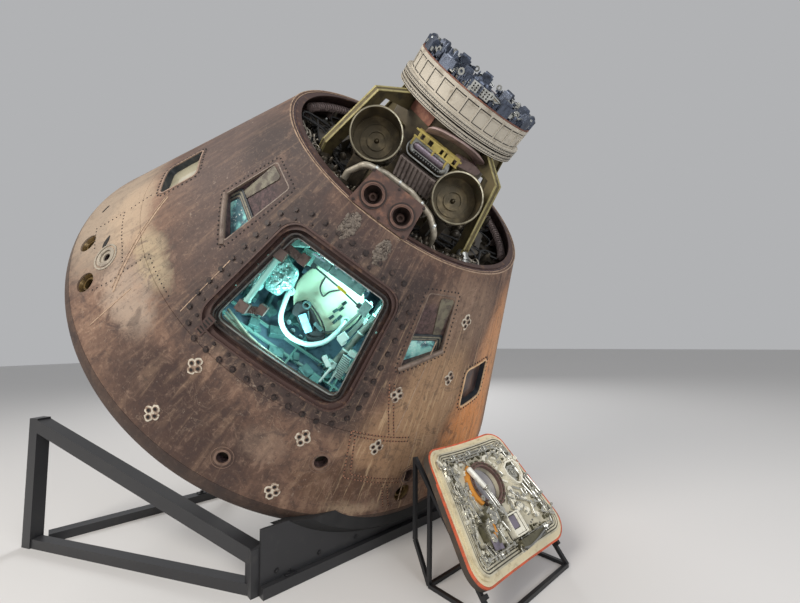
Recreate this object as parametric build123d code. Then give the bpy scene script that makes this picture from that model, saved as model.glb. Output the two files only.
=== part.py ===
from build123d import *
import os
from math import atan2, cos, degrees, pi, radians, sin, sqrt, tan

# Units are millimetres. World frame: origin on the floor, midway between the four anchor
# holes of the cradle; +Z up, +X towards the end where the capsule's apex leans, +Y to its left.
# Capsule frame: Z along the axis to the apex, zero where the body is widest,
# the side hatch on the -Y side, +X to the right for someone who faces the hatch.

# Capsule outer shape
MAX_R = 1955.8
CORNER_R = 195.6
SHIELD_R = 4694.0
CONE_HALF = 33.0
RIM_R = 991.78
JOINT_H = 78.0
SKIRT_TOP_H = 570.0
WALL = 110.0
BAY_WALL = 48.0
SHIELD_WALL = 70.0
SEAM = 4.0
SEAM_DEPTH = 14.0
TOUCH = 0.3

# How the capsule is set in its cradle
FLOOR_CLEAR = 136.1
CENTRE_X = -180.0
TILT = 56.29
ROLL = 44.66

# Hatch opening, along the slope of the cone; drops are measured down the axis from the rim
HATCH_DROP = 548.4
HATCH_LENGTH = 694.0
HATCH_BOTTOM_W = 898.0
HATCH_TOP_W = 674.0
HATCH_CORNER_R = 62.0
FRAME_W = 58.0
FRAME_RECESS = 10.0
STEP_GAP = 6.0
LEDGE_W = 26.0
LEDGE_DEPTH = 70.0

# Windows: side panes are square, forward panes lie on the floor of a sloping pocket
SIDE_WINDOW_ANGLE = 60.5
SIDE_WINDOW_DROP = 720.4
SIDE_WINDOW_W = 322.0
SIDE_WINDOW_L = 308.0
SIDE_WINDOW_R = 45.0
SIDE_WINDOW_DEPTH = 62.0
PANE_MARGIN = 22.0
PANE_T = 14.0
PANE_GAP = 1.0
POCKET_ANGLE = 33.0
POCKET_DROP = 352.4
POCKET_DEPTH = 84.0
# Corners of the pocket and of its pane: across the cone away from the hatch, up the slope
POCKET_OUTLINE = ((-132, -280), (145, -119), (95, 250), (-115, 226))
PANE_OUTLINE = ((-96, -252), (122, -136), (96, -66), (-92, -96))

# Forward bay round the tunnel; rises are measured up the axis from the rim
DECK_DROP = 242.4
DECK_T = 36.0
TUNNEL_R = 385.0
TUNNEL_WALL = 18.0
TUNNEL_RISE = 509.6
FLANGE_R = 462.0
FLANGE_T = 36.0
FLANGE_GAP = 12.0
FLANGE_SLOTS = 12
DRUM_R = 437.0
DRUM_H = 132.0
DRUM_WALL = 34.0
LATCH_COUNT = 12
LATCH_H = 64.0
LATCH_W = 84.0
LATCH_D = 56.0
LATCH_TOE_W = 44.0
LATCH_HOOK_R = 18.0
GUSSET_COUNT = 4
GUSSET_T = 12.0
GUSSET_LIP_W = 42.0
GUSSET_LIP_T = 8.0
GUSSET_DEPTH = 84.0
GUSSET_FOOT_R = 800.0
GUSSET_KNEE_R = 655.0
GUSSET_TOP_R = 452.0
GUSSET_KNEE_DROP = 75.0
GUSSET_HIP_RISE = 17.6
MORTAR_R = 152.0
MORTAR_WALL = 5.0
MORTAR_L = 170.0
MORTAR_TILT = 60.0
MORTAR_X = 300.0
MORTAR_Y = 650.0
MORTAR_RISE = 279.6
MORTAR_BEAD = 6.0
MORTAR_POST_W = 120.0
MORTAR_POST_D = 90.0
MORTAR_POST_IN = 60.0
MORTAR_POST_DROP = 122.0
ENGINE_LOW_W = 394.0
ENGINE_TOP_W = 344.0
ENGINE_RAISE = 9.6
ENGINE_RISE = 186.0
ENGINE_NOZZLE_X = 98.0
ENGINE_DEPTH = 170.0
ENGINE_FOOT_R = 775.0
ENGINE_FOOT_W = 260.0
ENGINE_FOOT_D = 50.0
NOZZLE_RISE = 82.0
NOZZLE_R = 52.0
NOZZLE_DEPTH = 90.0
NOZZLE_LIP = 14.0
PIPE_R = 20.0
PIPE_BEND = 52.0
# Points of the vent pipe: across, out from the axis, down from the engine block's top
PIPE_POINTS = (
    (-315, 735, 178), (-250, 745, 66), (-120, 690, 56), (60, 650, 66), (232, 700, 88), (322, 748, 148),
    (346, 690, 258),
)
CASING_W = 300.0
CASING_L = 100.0
CASING_T = 60.0
CASING_X = 12.0
CASING_DROP = 220.0
PACK_W = 275.0
PACK_L = 120.0
PACK_T = 110.0
PACK_X = 15.0
PACK_DROP = 357.0
RIM_RING_W = 16.0
RIM_RING_T = 10.0

# Thruster and vent openings in the skirt: angle from the hatch, height, radius
SKIRT_PORTS = (
    (-52.0, 196.0, 66.0), (-41.5, 190.0, 66.0), (41.5, 190.0, 66.0), (52.0, 196.0, 66.0),
    (-44.5, 335.0, 48.0), (41.7, 309.0, 48.0), (2.8, 208.0, 36.0), (19.4, 374.0, 44.0),
    (134.0, 190.0, 66.0), (146.0, 190.0, 66.0), (-134.0, 190.0, 66.0), (-146.0, 190.0, 66.0),
)
PORT_DEPTH = 80.0
PORT_FLOOR = 8.0

# Cabin
FLOOR_H = 300.0
FLOOR_T = 30.0
COUCH_W = 520.0
COUCH_L = 1250.0
COUCH_T = 46.0
COUCH_PITCH = 620.0
COUCH_H = 640.0
COUCH_HEAD_Y = -600.0
REST_L = 190.0
REST_IN = 110.0
REST_RAISE = 30.0
STRUT_IN = 150.0
STRUT_R = 24.0
PANEL_DROP = 170.0
PANEL_T = 60.0
PANEL_SLOT = 150.0
HINGE_L = 420.0
HINGE_R = 26.0
HINGE_IN = 120.0
BRACKET_W = 150.0
BRACKET_L = 52.0
BRACKET_T = 60.0

# Hatch cover on its easel
COVER_T = 84.0
COVER_SHELL_T = 50.0
COVER_GROW = 24.0
COVER_CORNER_R = 94.0
COVER_GAP = 6.0
GASKET_W = 16.0
GASKET_T = 21.0
COVER_FACE = (1700.0, 48.0, 488.0)
COVER_LEAN = 37.9
COVER_STANDOFF = 68.0
COVER_WINDOW_R = 112.0
COVER_WINDOW_UP = 75.0
BEZEL_W = 26.0
BEZEL_H = 20.0
ROD_R = 17.0
ROD_L = 275.0
EASEL_BAR = 22.0
EASEL_HALF_W = 380.0
EASEL_REAR_X = 1462.0
EASEL_KNEE_H = 227.0
EASEL_BRACE_DOWN = 190.0
LEDGE_PAST = 12.0
LIFT = 250.0

# Cradle
ANCHOR_X = 860.0
ANCHOR_Y = 900.0
ANCHOR_R = 11.0
BEAM_W = 100.0
BEAM_H = 62.0
SIDE_FRONT_Y = 1080.0
SIDE_REAR = (-860.0, 2030.0)
ARM_W = 85.0
ARM_FRONT_H = 255.0
ARM_REAR_H = 900.0
PLATE_T = 16.0
PLATE_TOP_H = 360.0
PLATE_HALF_W = 1075.0
SADDLE_T = 50.0
SADDLE_W = 130.0
REAR_SADDLE_X = -420.0
REAR_SADDLE_Y = 520.0
REAR_SADDLE_SIZE = 300.0

os.makedirs("parts", exist_ok=True)

CONE_TAN = tan(radians(CONE_HALF))
CONE_COS = cos(radians(CONE_HALF))
CONE_SIN = sin(radians(CONE_HALF))
CORNER_AT = MAX_R - CORNER_R
CENTRE_H = FLOOR_CLEAR + CORNER_AT * sin(radians(TILT)) + CORNER_R
APEX_H = (CORNER_AT + CORNER_R * CONE_COS) / CONE_TAN + CORNER_R * CONE_SIN
RIM_H = APEX_H - RIM_R / CONE_TAN
DECK_H = RIM_H - DECK_DROP
PANEL_H = DECK_H - PANEL_DROP
TUNNEL_TOP_H = RIM_H + TUNNEL_RISE
MORTAR_H = RIM_H + MORTAR_RISE
HATCH_MID_H = RIM_H - HATCH_DROP
SIDE_WINDOW_H = RIM_H - SIDE_WINDOW_DROP
POCKET_MID_H = RIM_H - POCKET_DROP
SHIELD_CENTRE_H = sqrt((SHIELD_R - CORNER_R) ** 2 - CORNER_AT ** 2)
SHIELD_TURN = atan2(CORNER_AT, SHIELD_CENTRE_H)

CAPSULE = Location((CENTRE_X, 0, CENTRE_H)) * Rotation(0, TILT, 0) * Rotation(0, 0, ROLL)


def cone_radius(height, inset=0.0):
    """Radius of the cone at a height, or of the surface that lies inset below it."""
    return (APEX_H - height) * CONE_TAN - inset / CONE_COS


def outline(start, *steps):
    """Closed face: a step of one point is a line, a step of two is an arc through the first."""
    edges = []
    here = start
    for step in steps:
        if isinstance(step[0], tuple):
            edges.append(ThreePointArc(here, step[0], step[1]))
            here = step[1]
        else:
            edges.append(Line(here, step))
            here = step
    edges.append(Line(here, start))
    return make_face(edges)


def turned(face):
    """Solid of revolution about Z of a face drawn as (radius, height)."""
    return revolve(Plane.XZ * face, Axis.Z)


def tube(radius, bore, low, high):
    return turned(outline((bore, low), (radius, low), (radius, high), (bore, high)))


def disc(radius, low, high):
    return turned(outline((0, low), (radius, low), (radius, high), (0, high)))


def on_corner(angle, inset=0.0):
    """Point of the rounded corner, angle in radians above its widest point."""
    reach = CORNER_R - inset
    return (CORNER_AT + reach * cos(angle), reach * sin(angle))


def on_shield(angle, inset=0.0):
    """Point of the blunt shield, angle in radians from the capsule's axis."""
    reach = SHIELD_R - inset
    return (reach * sin(angle), SHIELD_CENTRE_H - reach * cos(angle))


def capsule_body(inset, top=RIM_H):
    """Solid that fills the capsule's outer shape, inset below it, from the shield to a height."""
    cone_end = radians(CONE_HALF)
    shield_end = SHIELD_TURN - pi / 2
    face = outline(
        (0, top),
        (cone_radius(top, inset), top),
        on_corner(cone_end, inset),
        (on_corner((cone_end + shield_end) / 2, inset), on_corner(shield_end, inset)),
        (on_shield(SHIELD_TURN / 2, inset), on_shield(0, inset)),
    )
    return turned(face)


def slope_plane(angle, height, inset=0.0):
    """Plane on the cone: x away across the cone, y up the slope, z outwards."""
    turn = radians(angle)
    radius = cone_radius(height, inset)
    return Plane(
        origin=(radius * sin(turn), -radius * cos(turn), height),
        x_dir=(cos(turn), sin(turn), 0),
        z_dir=(CONE_COS * sin(turn), -CONE_COS * cos(turn), CONE_SIN),
    )


def bar(start, end, width, depth=None, up=(0, 0, 1)):
    """Straight bar of rectangular section between two points; depth is measured along up."""
    start, end = Vector(*start), Vector(*end)
    run = end - start
    side = Vector(*up).cross(run).normalized()
    base = Plane(origin=start, x_dir=side, z_dir=run.normalized())
    return extrude(base * Rectangle(width, depth or width), run.length)


def rod(start, end, radius):
    start, end = Vector(*start), Vector(*end)
    run = end - start
    return extrude(Plane(origin=start, z_dir=run.normalized()) * Circle(radius), run.length)


def bent_rod(points, bend, radius):
    """Round rod along straight runs joined by arcs of one bend radius."""
    path = FilletPolyline(*points, radius=bend)
    return sweep(Plane(origin=path @ 0, z_dir=path % 0) * Circle(radius), path=path)


def write(name, *shapes, place=None):
    """Write one node; several shapes become one node of separate solids."""
    placed = [place * shape if place else shape for shape in shapes]
    solids = [solid for shape in placed for solid in shape.solids()]
    export_step(solids[0] if len(solids) == 1 else Compound(children=solids), f"parts/{name}.step")


# Hatch opening: a trapezoid with round corners on the slope plane
HATCH_PLANE = slope_plane(0, HATCH_MID_H)


def hatch_outline(grow=0.0, corner=HATCH_CORNER_R):
    """Trapezoid grown by an even margin; corner is its corner radius before it grows."""
    half_l = HATCH_LENGTH / 2 + grow
    bottom = HATCH_BOTTOM_W / 2 + grow
    top = HATCH_TOP_W / 2 + grow
    face = make_face(Polyline((-bottom, -half_l), (bottom, -half_l), (top, half_l), (-top, half_l), close=True))
    return fillet(face.vertices(), max(corner + grow, corner / 3))


def hatch_prism(grow, high, low, corner=HATCH_CORNER_R):
    """The hatch outline pushed through the wall, between two heights over the slope plane."""
    return extrude(HATCH_PLANE * Pos(0, 0, low) * hatch_outline(grow, corner), high - low)


THROUGH = WALL * 3
body_outside = capsule_body(0)
body_inside = capsule_body(WALL)
skin = body_outside - body_inside


def slab(low, high):
    return Pos(0, 0, (low + high) / 2) * Cylinder(MAX_R * 1.2, high - low)


hatch_hole = hatch_prism(FRAME_W, THROUGH, -THROUGH)


def side_window(side):
    """Opening, pane and ledge cut of one side window."""
    plane = slope_plane(side * SIDE_WINDOW_ANGLE, SIDE_WINDOW_H)
    sight = RectangleRounded(SIDE_WINDOW_W - 2 * PANE_MARGIN, SIDE_WINDOW_L - 2 * PANE_MARGIN, SIDE_WINDOW_R)
    recess = RectangleRounded(SIDE_WINDOW_W, SIDE_WINDOW_L, SIDE_WINDOW_R)
    glass = RectangleRounded(SIDE_WINDOW_W - 2 * PANE_GAP, SIDE_WINDOW_L - 2 * PANE_GAP, SIDE_WINDOW_R)
    cut = extrude(plane * Pos(0, 0, -SIDE_WINDOW_DEPTH) * recess, THROUGH)
    cut += extrude(plane * Pos(0, 0, -THROUGH) * sight, THROUGH)
    pane = extrude(plane * Pos(0, 0, -SIDE_WINDOW_DEPTH) * glass, PANE_T)
    return cut, pane


def forward_window(side):
    """Sloping pocket, sight hole and pane of one forward window."""
    plane = slope_plane(side * POCKET_ANGLE, POCKET_MID_H)
    low = min(y for x, y in POCKET_OUTLINE)
    high = max(y for x, y in POCKET_OUTLINE)
    lean = degrees(atan2(POCKET_DEPTH, high - low))
    floor_plane = plane * Location((0, low, -POCKET_DEPTH)) * Rotation(lean, 0, 0) * Pos(0, -low, 0)
    pocket = make_face(Polyline(*[(side * x, y) for x, y in POCKET_OUTLINE], close=True))
    pane_face = make_face(Polyline(*[(side * x, y) for x, y in PANE_OUTLINE], close=True))
    glass_face = offset(pane_face, amount=PANE_MARGIN - PANE_GAP, kind=Kind.INTERSECTION)
    seat_face = offset(pane_face, amount=PANE_MARGIN, kind=Kind.INTERSECTION)
    prism = extrude(plane * Pos(0, 0, -THROUGH) * pocket, 2 * THROUGH)
    above = extrude(floor_plane * Rectangle(MAX_R, MAX_R), THROUGH)
    cut = prism & above
    cut += extrude(floor_plane * Pos(0, 0, -THROUGH) * pane_face, THROUGH + 1)
    cut += extrude(floor_plane * Pos(0, 0, -PANE_T) * seat_face, PANE_T + 1)
    pane = extrude(floor_plane * Pos(0, 0, -PANE_T) * glass_face, PANE_T)
    return cut, pane


window_cuts = []
panes = {}
for side, name in ((-1, "left"), (1, "right")):
    for kind, make in (("side", side_window), ("forward", forward_window)):
        cut, pane = make(side)
        window_cuts.append(cut)
        panes[f"pane_{kind}_{name}"] = pane

# Crew shell: the cone wall from the skirt seam to the forward rim, windows and hatch cut
crew_shell = skin & slab(SKIRT_TOP_H, RIM_H)
crew_shell -= hatch_hole
for cut in window_cuts:
    crew_shell -= cut
crew_shell -= capsule_body(BAY_WALL) & slab(DECK_H + DECK_T, RIM_H + BAY_WALL)
write("crew_shell", crew_shell, place=CAPSULE)
for name, pane in panes.items():
    write(name, pane, place=CAPSULE)

# Skirt: the lower cone wall, with thruster and vent openings, a seam groove on its top edge
skirt = (skin & slab(JOINT_H, SKIRT_TOP_H)) - hatch_hole
groove = cone_radius(SKIRT_TOP_H)
skirt -= tube(groove + SEAM_DEPTH, groove - SEAM_DEPTH, SKIRT_TOP_H - SEAM, SKIRT_TOP_H + SEAM)
liners = []
for angle, height, radius in SKIRT_PORTS:
    mouth = slope_plane(angle, height)
    skirt -= extrude(mouth * Pos(0, 0, -PORT_DEPTH) * Circle(radius), THROUGH)
    liners.append(extrude(mouth * Pos(0, 0, -PORT_DEPTH) * Circle(radius - TOUCH), PORT_FLOOR))
write("skirt", skirt, place=CAPSULE)
write("port_liners", *liners, place=CAPSULE)

# Aft shield: the blunt end, a shell that carries the skirt
aft_shield = (capsule_body(0) - capsule_body(SHIELD_WALL)) & slab(-SHIELD_R, JOINT_H)
edge = on_corner(atan2(JOINT_H, CORNER_R))[0]
aft_shield -= tube(edge + WALL, edge - SEAM_DEPTH, JOINT_H - SEAM, JOINT_H + SEAM)
write("aft_shield", aft_shield, place=CAPSULE)

# Hatch frame: lines the opening, with a step for the cover's shell and a sealing ledge further in
frame_band = hatch_prism(FRAME_W - TOUCH, THROUGH, -THROUGH) - hatch_prism(0, THROUGH, -THROUGH)
step_zone = hatch_prism(COVER_GROW + STEP_GAP, THROUGH, -THROUGH, COVER_CORNER_R)
hatch_frame = (frame_band - step_zone) & (capsule_body(FRAME_RECESS) - capsule_body(WALL))
hatch_frame += frame_band & (capsule_body(COVER_SHELL_T + STEP_GAP) - capsule_body(WALL))
ledge = (hatch_prism(1, THROUGH, -THROUGH) - hatch_prism(-LEDGE_W, THROUGH, -THROUGH))
hatch_frame += ledge & (capsule_body(LEDGE_DEPTH) - capsule_body(WALL))
write("hatch_frame", hatch_frame, place=CAPSULE)

# Deck of the forward bay, the tunnel through it and the rim ring
deck_edge = cone_radius(DECK_H + DECK_T, WALL) - TOUCH
deck = tube(deck_edge, TUNNEL_R + TOUCH, DECK_H, DECK_H + DECK_T)
write("forward_deck", deck, place=CAPSULE)
tunnel = tube(TUNNEL_R, TUNNEL_R - TUNNEL_WALL, DECK_H - DECK_T, TUNNEL_TOP_H)
write("tunnel", tunnel, place=CAPSULE)
rim_outer = cone_radius(RIM_H, BAY_WALL)
rim_ring = tube(rim_outer + RIM_RING_W, rim_outer - RIM_RING_W, RIM_H + TOUCH, RIM_H + RIM_RING_T)
write("rim_ring", rim_ring, place=CAPSULE)

# Docking ring: two slotted flanges and a panelled drum, with latches on its top
flange = tube(FLANGE_R, TUNNEL_R - TUNNEL_WALL, TUNNEL_TOP_H, TUNNEL_TOP_H + FLANGE_T)
drum_base = TUNNEL_TOP_H + FLANGE_T
flange += tube(DRUM_R, TUNNEL_R - TUNNEL_WALL, drum_base, drum_base + FLANGE_GAP)
flange += tube(FLANGE_R, TUNNEL_R - TUNNEL_WALL, drum_base + FLANGE_GAP, drum_base + FLANGE_GAP + FLANGE_T)
for i in range(FLANGE_SLOTS):
    slot = Rotation(0, 0, (i + 0.5) * 360 / FLANGE_SLOTS) * Pos(0, -FLANGE_R, drum_base)
    flange -= slot * Box(26, 30, FLANGE_T)
write("docking_flange", flange, place=CAPSULE)
drum_low = drum_base + FLANGE_GAP + FLANGE_T
drum = tube(DRUM_R, DRUM_R - DRUM_WALL, drum_low, drum_low + DRUM_H)
write("docking_drum", drum, place=CAPSULE)
drum_top = drum_low + DRUM_H
latches = []
for i in range(LATCH_COUNT):
    base = Rotation(0, 0, i * 360 / LATCH_COUNT) * Pos(0, -(DRUM_R - LATCH_D / 2 - TOUCH), drum_top)
    block = base * Pos(0, 0, LATCH_H / 2) * Box(LATCH_W, LATCH_D, LATCH_H)
    toe = DRUM_WALL / 2
    block += base * Pos(0, LATCH_D / 2, toe / 2) * Box(LATCH_TOE_W, toe, toe)
    hook = base * Pos(0, 0, LATCH_H) * Rotation(0, 90, 0) * Cylinder(LATCH_HOOK_R, LATCH_W - LATCH_HOOK_R)
    latches.append(block + hook)
write("docking_latches", *latches, place=CAPSULE)

# Gussets: bent webs with a flange, from the tunnel's top to the deck near the rim
gusset_foot_h = DECK_H + DECK_T + TOUCH
gusset_top_h = TUNNEL_TOP_H - 4
gusset_knee_h = TUNNEL_TOP_H - GUSSET_KNEE_DROP
gusset_hip_h = RIM_H + GUSSET_HIP_RISE
gusset_outer = (
    (TUNNEL_R + TOUCH, gusset_top_h), (GUSSET_TOP_R, gusset_top_h), (GUSSET_KNEE_R, gusset_knee_h),
    (GUSSET_FOOT_R, gusset_hip_h), (GUSSET_FOOT_R, gusset_foot_h),
)
gusset_inner = (
    (GUSSET_FOOT_R - GUSSET_DEPTH, gusset_foot_h), (GUSSET_FOOT_R - GUSSET_DEPTH, gusset_hip_h - 30),
    (GUSSET_KNEE_R - GUSSET_DEPTH, gusset_knee_h - 30), (TUNNEL_R + TOUCH, gusset_knee_h - 30),
)
lip = GUSSET_LIP_T
gusset_lip = (
    (GUSSET_TOP_R, gusset_top_h), (GUSSET_KNEE_R, gusset_knee_h), (GUSSET_FOOT_R, gusset_hip_h),
    (GUSSET_FOOT_R, gusset_foot_h), (GUSSET_FOOT_R - lip, gusset_foot_h), (GUSSET_FOOT_R - lip, gusset_hip_h - 3),
    (GUSSET_KNEE_R - lip, gusset_knee_h - 5), (GUSSET_TOP_R, gusset_top_h - lip),
)


def gusset_web(points, width):
    """Flat outline in the plane of the capsule's axis, thickened by width about that plane."""
    plane = Plane(origin=(0, width / 2, 0), x_dir=(1, 0, 0), z_dir=(0, -1, 0))
    return extrude(plane * make_face(Polyline(*points, close=True)), width)


for i in range(GUSSET_COUNT):
    turn = Rotation(0, 0, -45 + i * 360 / GUSSET_COUNT)
    web = gusset_web(gusset_outer + gusset_inner, GUSSET_T) + gusset_web(gusset_lip, GUSSET_LIP_W)
    write(f"gusset_{i + 1}", turn * web, place=CAPSULE)

# Mortar tubes on each side of the pitch engines, open at the mouth
for side, name in ((-1, "left"), (1, "right")):
    lean = radians(MORTAR_TILT)
    mouth = Plane(origin=(side * MORTAR_X, -MORTAR_Y, MORTAR_H), x_dir=(1, 0, 0), z_dir=(0, -sin(lean), cos(lean)))
    can = extrude(mouth * Pos(0, 0, -MORTAR_L) * Circle(MORTAR_R), MORTAR_L)
    can -= extrude(mouth * Pos(0, 0, MORTAR_WALL - MORTAR_L) * Circle(MORTAR_R - MORTAR_WALL), MORTAR_L)
    can += extrude(mouth * Pos(0, 0, -10) * (Circle(MORTAR_R + MORTAR_BEAD) - Circle(MORTAR_R - MORTAR_WALL)), 10)
    write(f"mortar_{name}", can, place=CAPSULE)

    post_l = MORTAR_H - MORTAR_POST_DROP - gusset_foot_h
    post_at = Pos(side * MORTAR_X, MORTAR_POST_IN - MORTAR_Y, gusset_foot_h + post_l / 2)
    post = post_at * Box(MORTAR_POST_W, MORTAR_POST_D, post_l)
    solid_can = extrude(mouth * Pos(0, 0, -MORTAR_L - TOUCH) * Circle(MORTAR_R + TOUCH), MORTAR_L + 40)
    write(f"mortar_stand_{name}", (post - solid_can).solids().sort_by(Axis.Z)[0], place=CAPSULE)

# Pitch engine block: its face lies on the cone's line, two nozzles open in it
low_h = RIM_H + ENGINE_RAISE
high_h = low_h + ENGINE_RISE
engine_plane = slope_plane(0, (low_h + high_h) / 2)
half_slope = (high_h - low_h) / CONE_COS / 2
low_w, high_w = ENGINE_LOW_W / 2, ENGINE_TOP_W / 2
face = make_face(Polyline((-low_w, -half_slope), (low_w, -half_slope), (high_w, half_slope), (-high_w, half_slope),
                          close=True))
nozzle_h = low_h + NOZZLE_RISE
engines = extrude(engine_plane * Pos(0, 0, -ENGINE_DEPTH) * face, ENGINE_DEPTH)
for side in (-1, 1):
    nozzle = slope_plane(0, nozzle_h) * Pos(side * ENGINE_NOZZLE_X, 0, 0)
    engines -= extrude(nozzle * Pos(0, 0, -NOZZLE_DEPTH) * Circle(NOZZLE_R), 2 * NOZZLE_DEPTH)
    lip_ring = Circle(NOZZLE_R + NOZZLE_LIP) - Circle(NOZZLE_R)
    engines += extrude(nozzle * Pos(0, 0, -2 * NOZZLE_LIP) * lip_ring, 2 * NOZZLE_LIP + GUSSET_LIP_T)
engines &= slab(RIM_H + RIM_RING_T + TOUCH, TUNNEL_TOP_H)
foot_h = nozzle_h - gusset_foot_h
engine_foot = Pos(0, -ENGINE_FOOT_R, gusset_foot_h + foot_h / 2) * Box(ENGINE_FOOT_W, ENGINE_FOOT_D, foot_h)
write("pitch_engines", engines + engine_foot, place=CAPSULE)

# Vent pipe that arches over the engine block
pipe_route = [(x, -out, high_h - drop) for x, out, drop in PIPE_POINTS]
pipe_feet = [(x, y, gusset_foot_h) for x, y, z in (pipe_route[0], pipe_route[-1])]
pipe_route = [pipe_feet[0], *pipe_route, pipe_feet[1]]
write("bay_pipe", bent_rod(pipe_route, PIPE_BEND, PIPE_R), place=CAPSULE)

# Rounded casing, bracket and corrugated pack on the tunnel's front
casing_at = (CASING_X, -TUNNEL_R, TUNNEL_TOP_H - CASING_DROP)
casing_plane = Plane(origin=casing_at, x_dir=(1, 0, 0), z_dir=(0, -0.94, 0.34))
casing = extrude(casing_plane * SlotOverall(CASING_W, CASING_L), CASING_T)
casing = fillet(casing.faces().sort_by(Axis.Y)[0].edges(), CASING_T / 5)
casing -= disc(TUNNEL_R + TOUCH, DECK_H, TUNNEL_TOP_H)
write("float_casing", casing, place=CAPSULE)
pack = Pos(PACK_X, -(TUNNEL_R + PACK_T / 2 - 5), TUNNEL_TOP_H - PACK_DROP) * Box(PACK_W, PACK_T, PACK_L)
pack -= disc(TUNNEL_R + TOUCH, DECK_H, TUNNEL_TOP_H)
write("bay_pack", pack, place=CAPSULE)

# Equipment that is left in the three parachute bays: plain boxes and canisters on the deck
BAY_ITEMS = (
    (90.0, 640.0, 300.0, 150.0, 120.0), (62.0, 700.0, 160.0, 130.0, 150.0), (118.0, 700.0, 160.0, 130.0, 110.0),
    (180.0, 640.0, 340.0, 160.0, 130.0), (205.0, 720.0, 130.0, 120.0, 90.0),
    (-90.0, 640.0, 300.0, 150.0, 120.0), (-62.0, 700.0, 160.0, 130.0, 150.0), (-118.0, 700.0, 160.0, 130.0, 110.0),
)
bay_items = []
for angle, radius, width, depth, height in BAY_ITEMS:
    middle = gusset_foot_h + height / 2
    bay_items.append(Rotation(0, 0, angle) * Pos(0, -radius, middle) * Box(width, depth, height))
write("bay_equipment", *bay_items, place=CAPSULE)

# Cabin floor, couches, the main panel and side bays
floor_r = cone_radius(FLOOR_H, WALL) - TOUCH
floor = disc(floor_r, FLOOR_H - FLOOR_T, FLOOR_H)
write("cabin_floor", floor, place=CAPSULE)
for i, name in enumerate(("left", "centre", "right")):
    x = (i - 1) * COUCH_PITCH
    pad = Pos(x, COUCH_HEAD_Y + COUCH_L / 2, COUCH_H) * Box(COUCH_W, COUCH_L, COUCH_T)
    rest = Pos(x, COUCH_HEAD_Y - REST_IN, COUCH_H + REST_RAISE) * Box(COUCH_W * 0.6, REST_L, COUCH_T)
    rest += Pos(x, COUCH_HEAD_Y, COUCH_H + REST_RAISE / 3) * Box(COUCH_W * 0.5, 2 * REST_RAISE, COUCH_T)
    couch = pad + rest
    for dx in (-1, 1):
        for y in (COUCH_HEAD_Y + STRUT_IN, COUCH_HEAD_Y + COUCH_L - STRUT_IN):
            foot = (x + dx * (COUCH_W / 2 - 2 * STRUT_R), y, FLOOR_H + TOUCH)
            couch += rod(foot, (foot[0], foot[1], COUCH_H), STRUT_R)
    write(f"couch_{name}", couch, place=CAPSULE)
panel_r = cone_radius(PANEL_H + PANEL_T, WALL) - TOUCH
panel = disc(panel_r, PANEL_H, PANEL_H + PANEL_T)
panel -= Pos(0, -MAX_R - PANEL_SLOT, PANEL_H) * Box(MAX_R * 3, MAX_R * 2, PANEL_T * 4)
write("main_panel", panel, place=CAPSULE)

# Hinge brackets on the hatch's left edge, and the round bar between them
hinge_plane = HATCH_PLANE * Pos(HINGE_IN - HATCH_BOTTOM_W / 2, 0, -WALL)
hinge = hinge_plane * Rotation(90, 0, 0) * Cylinder(HINGE_R, HINGE_L)
for end in (-1, 1):
    hinge += hinge_plane * Pos(0, end * (HINGE_L - BRACKET_L) / 2, 0) * Box(BRACKET_W, BRACKET_L, BRACKET_T)
hinge -= hatch_frame
write("hatch_hinge", hinge.solids().sort_by(SortBy.VOLUME)[-1], place=CAPSULE)

# Hatch cover, made in the plane of its opening and then set on the easel with its inside showing
lean = radians(COVER_LEAN)
face_normal = Vector(cos(lean), 0, sin(lean))
face_up = Vector(-sin(lean), 0, cos(lean))
cover_origin = Vector(*COVER_FACE) - face_normal * (COVER_T + COVER_STANDOFF)
EASEL_SEAT = Plane(origin=cover_origin, x_dir=(0, -1, 0), z_dir=-face_normal).location
COVER = EASEL_SEAT * HATCH_PLANE.location.inverse()


def cover_band(outer, inner, top, bottom):
    """Part of the hatch cover: outline grown by outer, less inner, between two depths."""
    shape = hatch_prism(outer, THROUGH, -THROUGH, COVER_CORNER_R)
    if inner is not None:
        shape -= hatch_prism(inner, THROUGH, -THROUGH, COVER_CORNER_R)
    return shape & (capsule_body(top) - capsule_body(bottom))


window_bore = extrude(HATCH_PLANE * Pos(0, COVER_WINDOW_UP, -THROUGH) * Circle(COVER_WINDOW_R), 2 * THROUGH)
cover_shell = cover_band(COVER_GROW, None, 0, COVER_SHELL_T) - window_bore
write("cover_shell", cover_shell, place=COVER)
cover_inner = cover_band(-COVER_GAP - GASKET_W, None, COVER_SHELL_T, COVER_T) - window_bore
write("cover_inner", cover_inner, place=COVER)
gasket = cover_band(-COVER_GAP, -COVER_GAP - GASKET_W + TOUCH, COVER_SHELL_T, COVER_SHELL_T + GASKET_T)
write("cover_gasket", gasket, place=COVER)
cover_pane = extrude(HATCH_PLANE * Pos(0, COVER_WINDOW_UP, -50) * Circle(COVER_WINDOW_R - TOUCH), PANE_T)
write("cover_pane", cover_pane, place=COVER)

# Gear on the cover's inner face. Places are seen from inside: right, up, then sizes and height
COVER_GEAR = {
    "cover_gearbox": ((-150, -92, 110, 100, 56), (-222, -165, 95, 120, 50)),
    "cover_crank": ((105, -289, 250, 46, 36),),
    "cover_case": ((36, -186, 128, 126, 28),),
    "cover_guard": ((260, 72, 112, 140, 24),),
}
COVER_LATCHES = 15
LATCH_SIZE = (62.0, 34.0, 30.0)
LATCH_INSET = 72.0
inner_zone = capsule_body(COVER_T + TOUCH)


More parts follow.
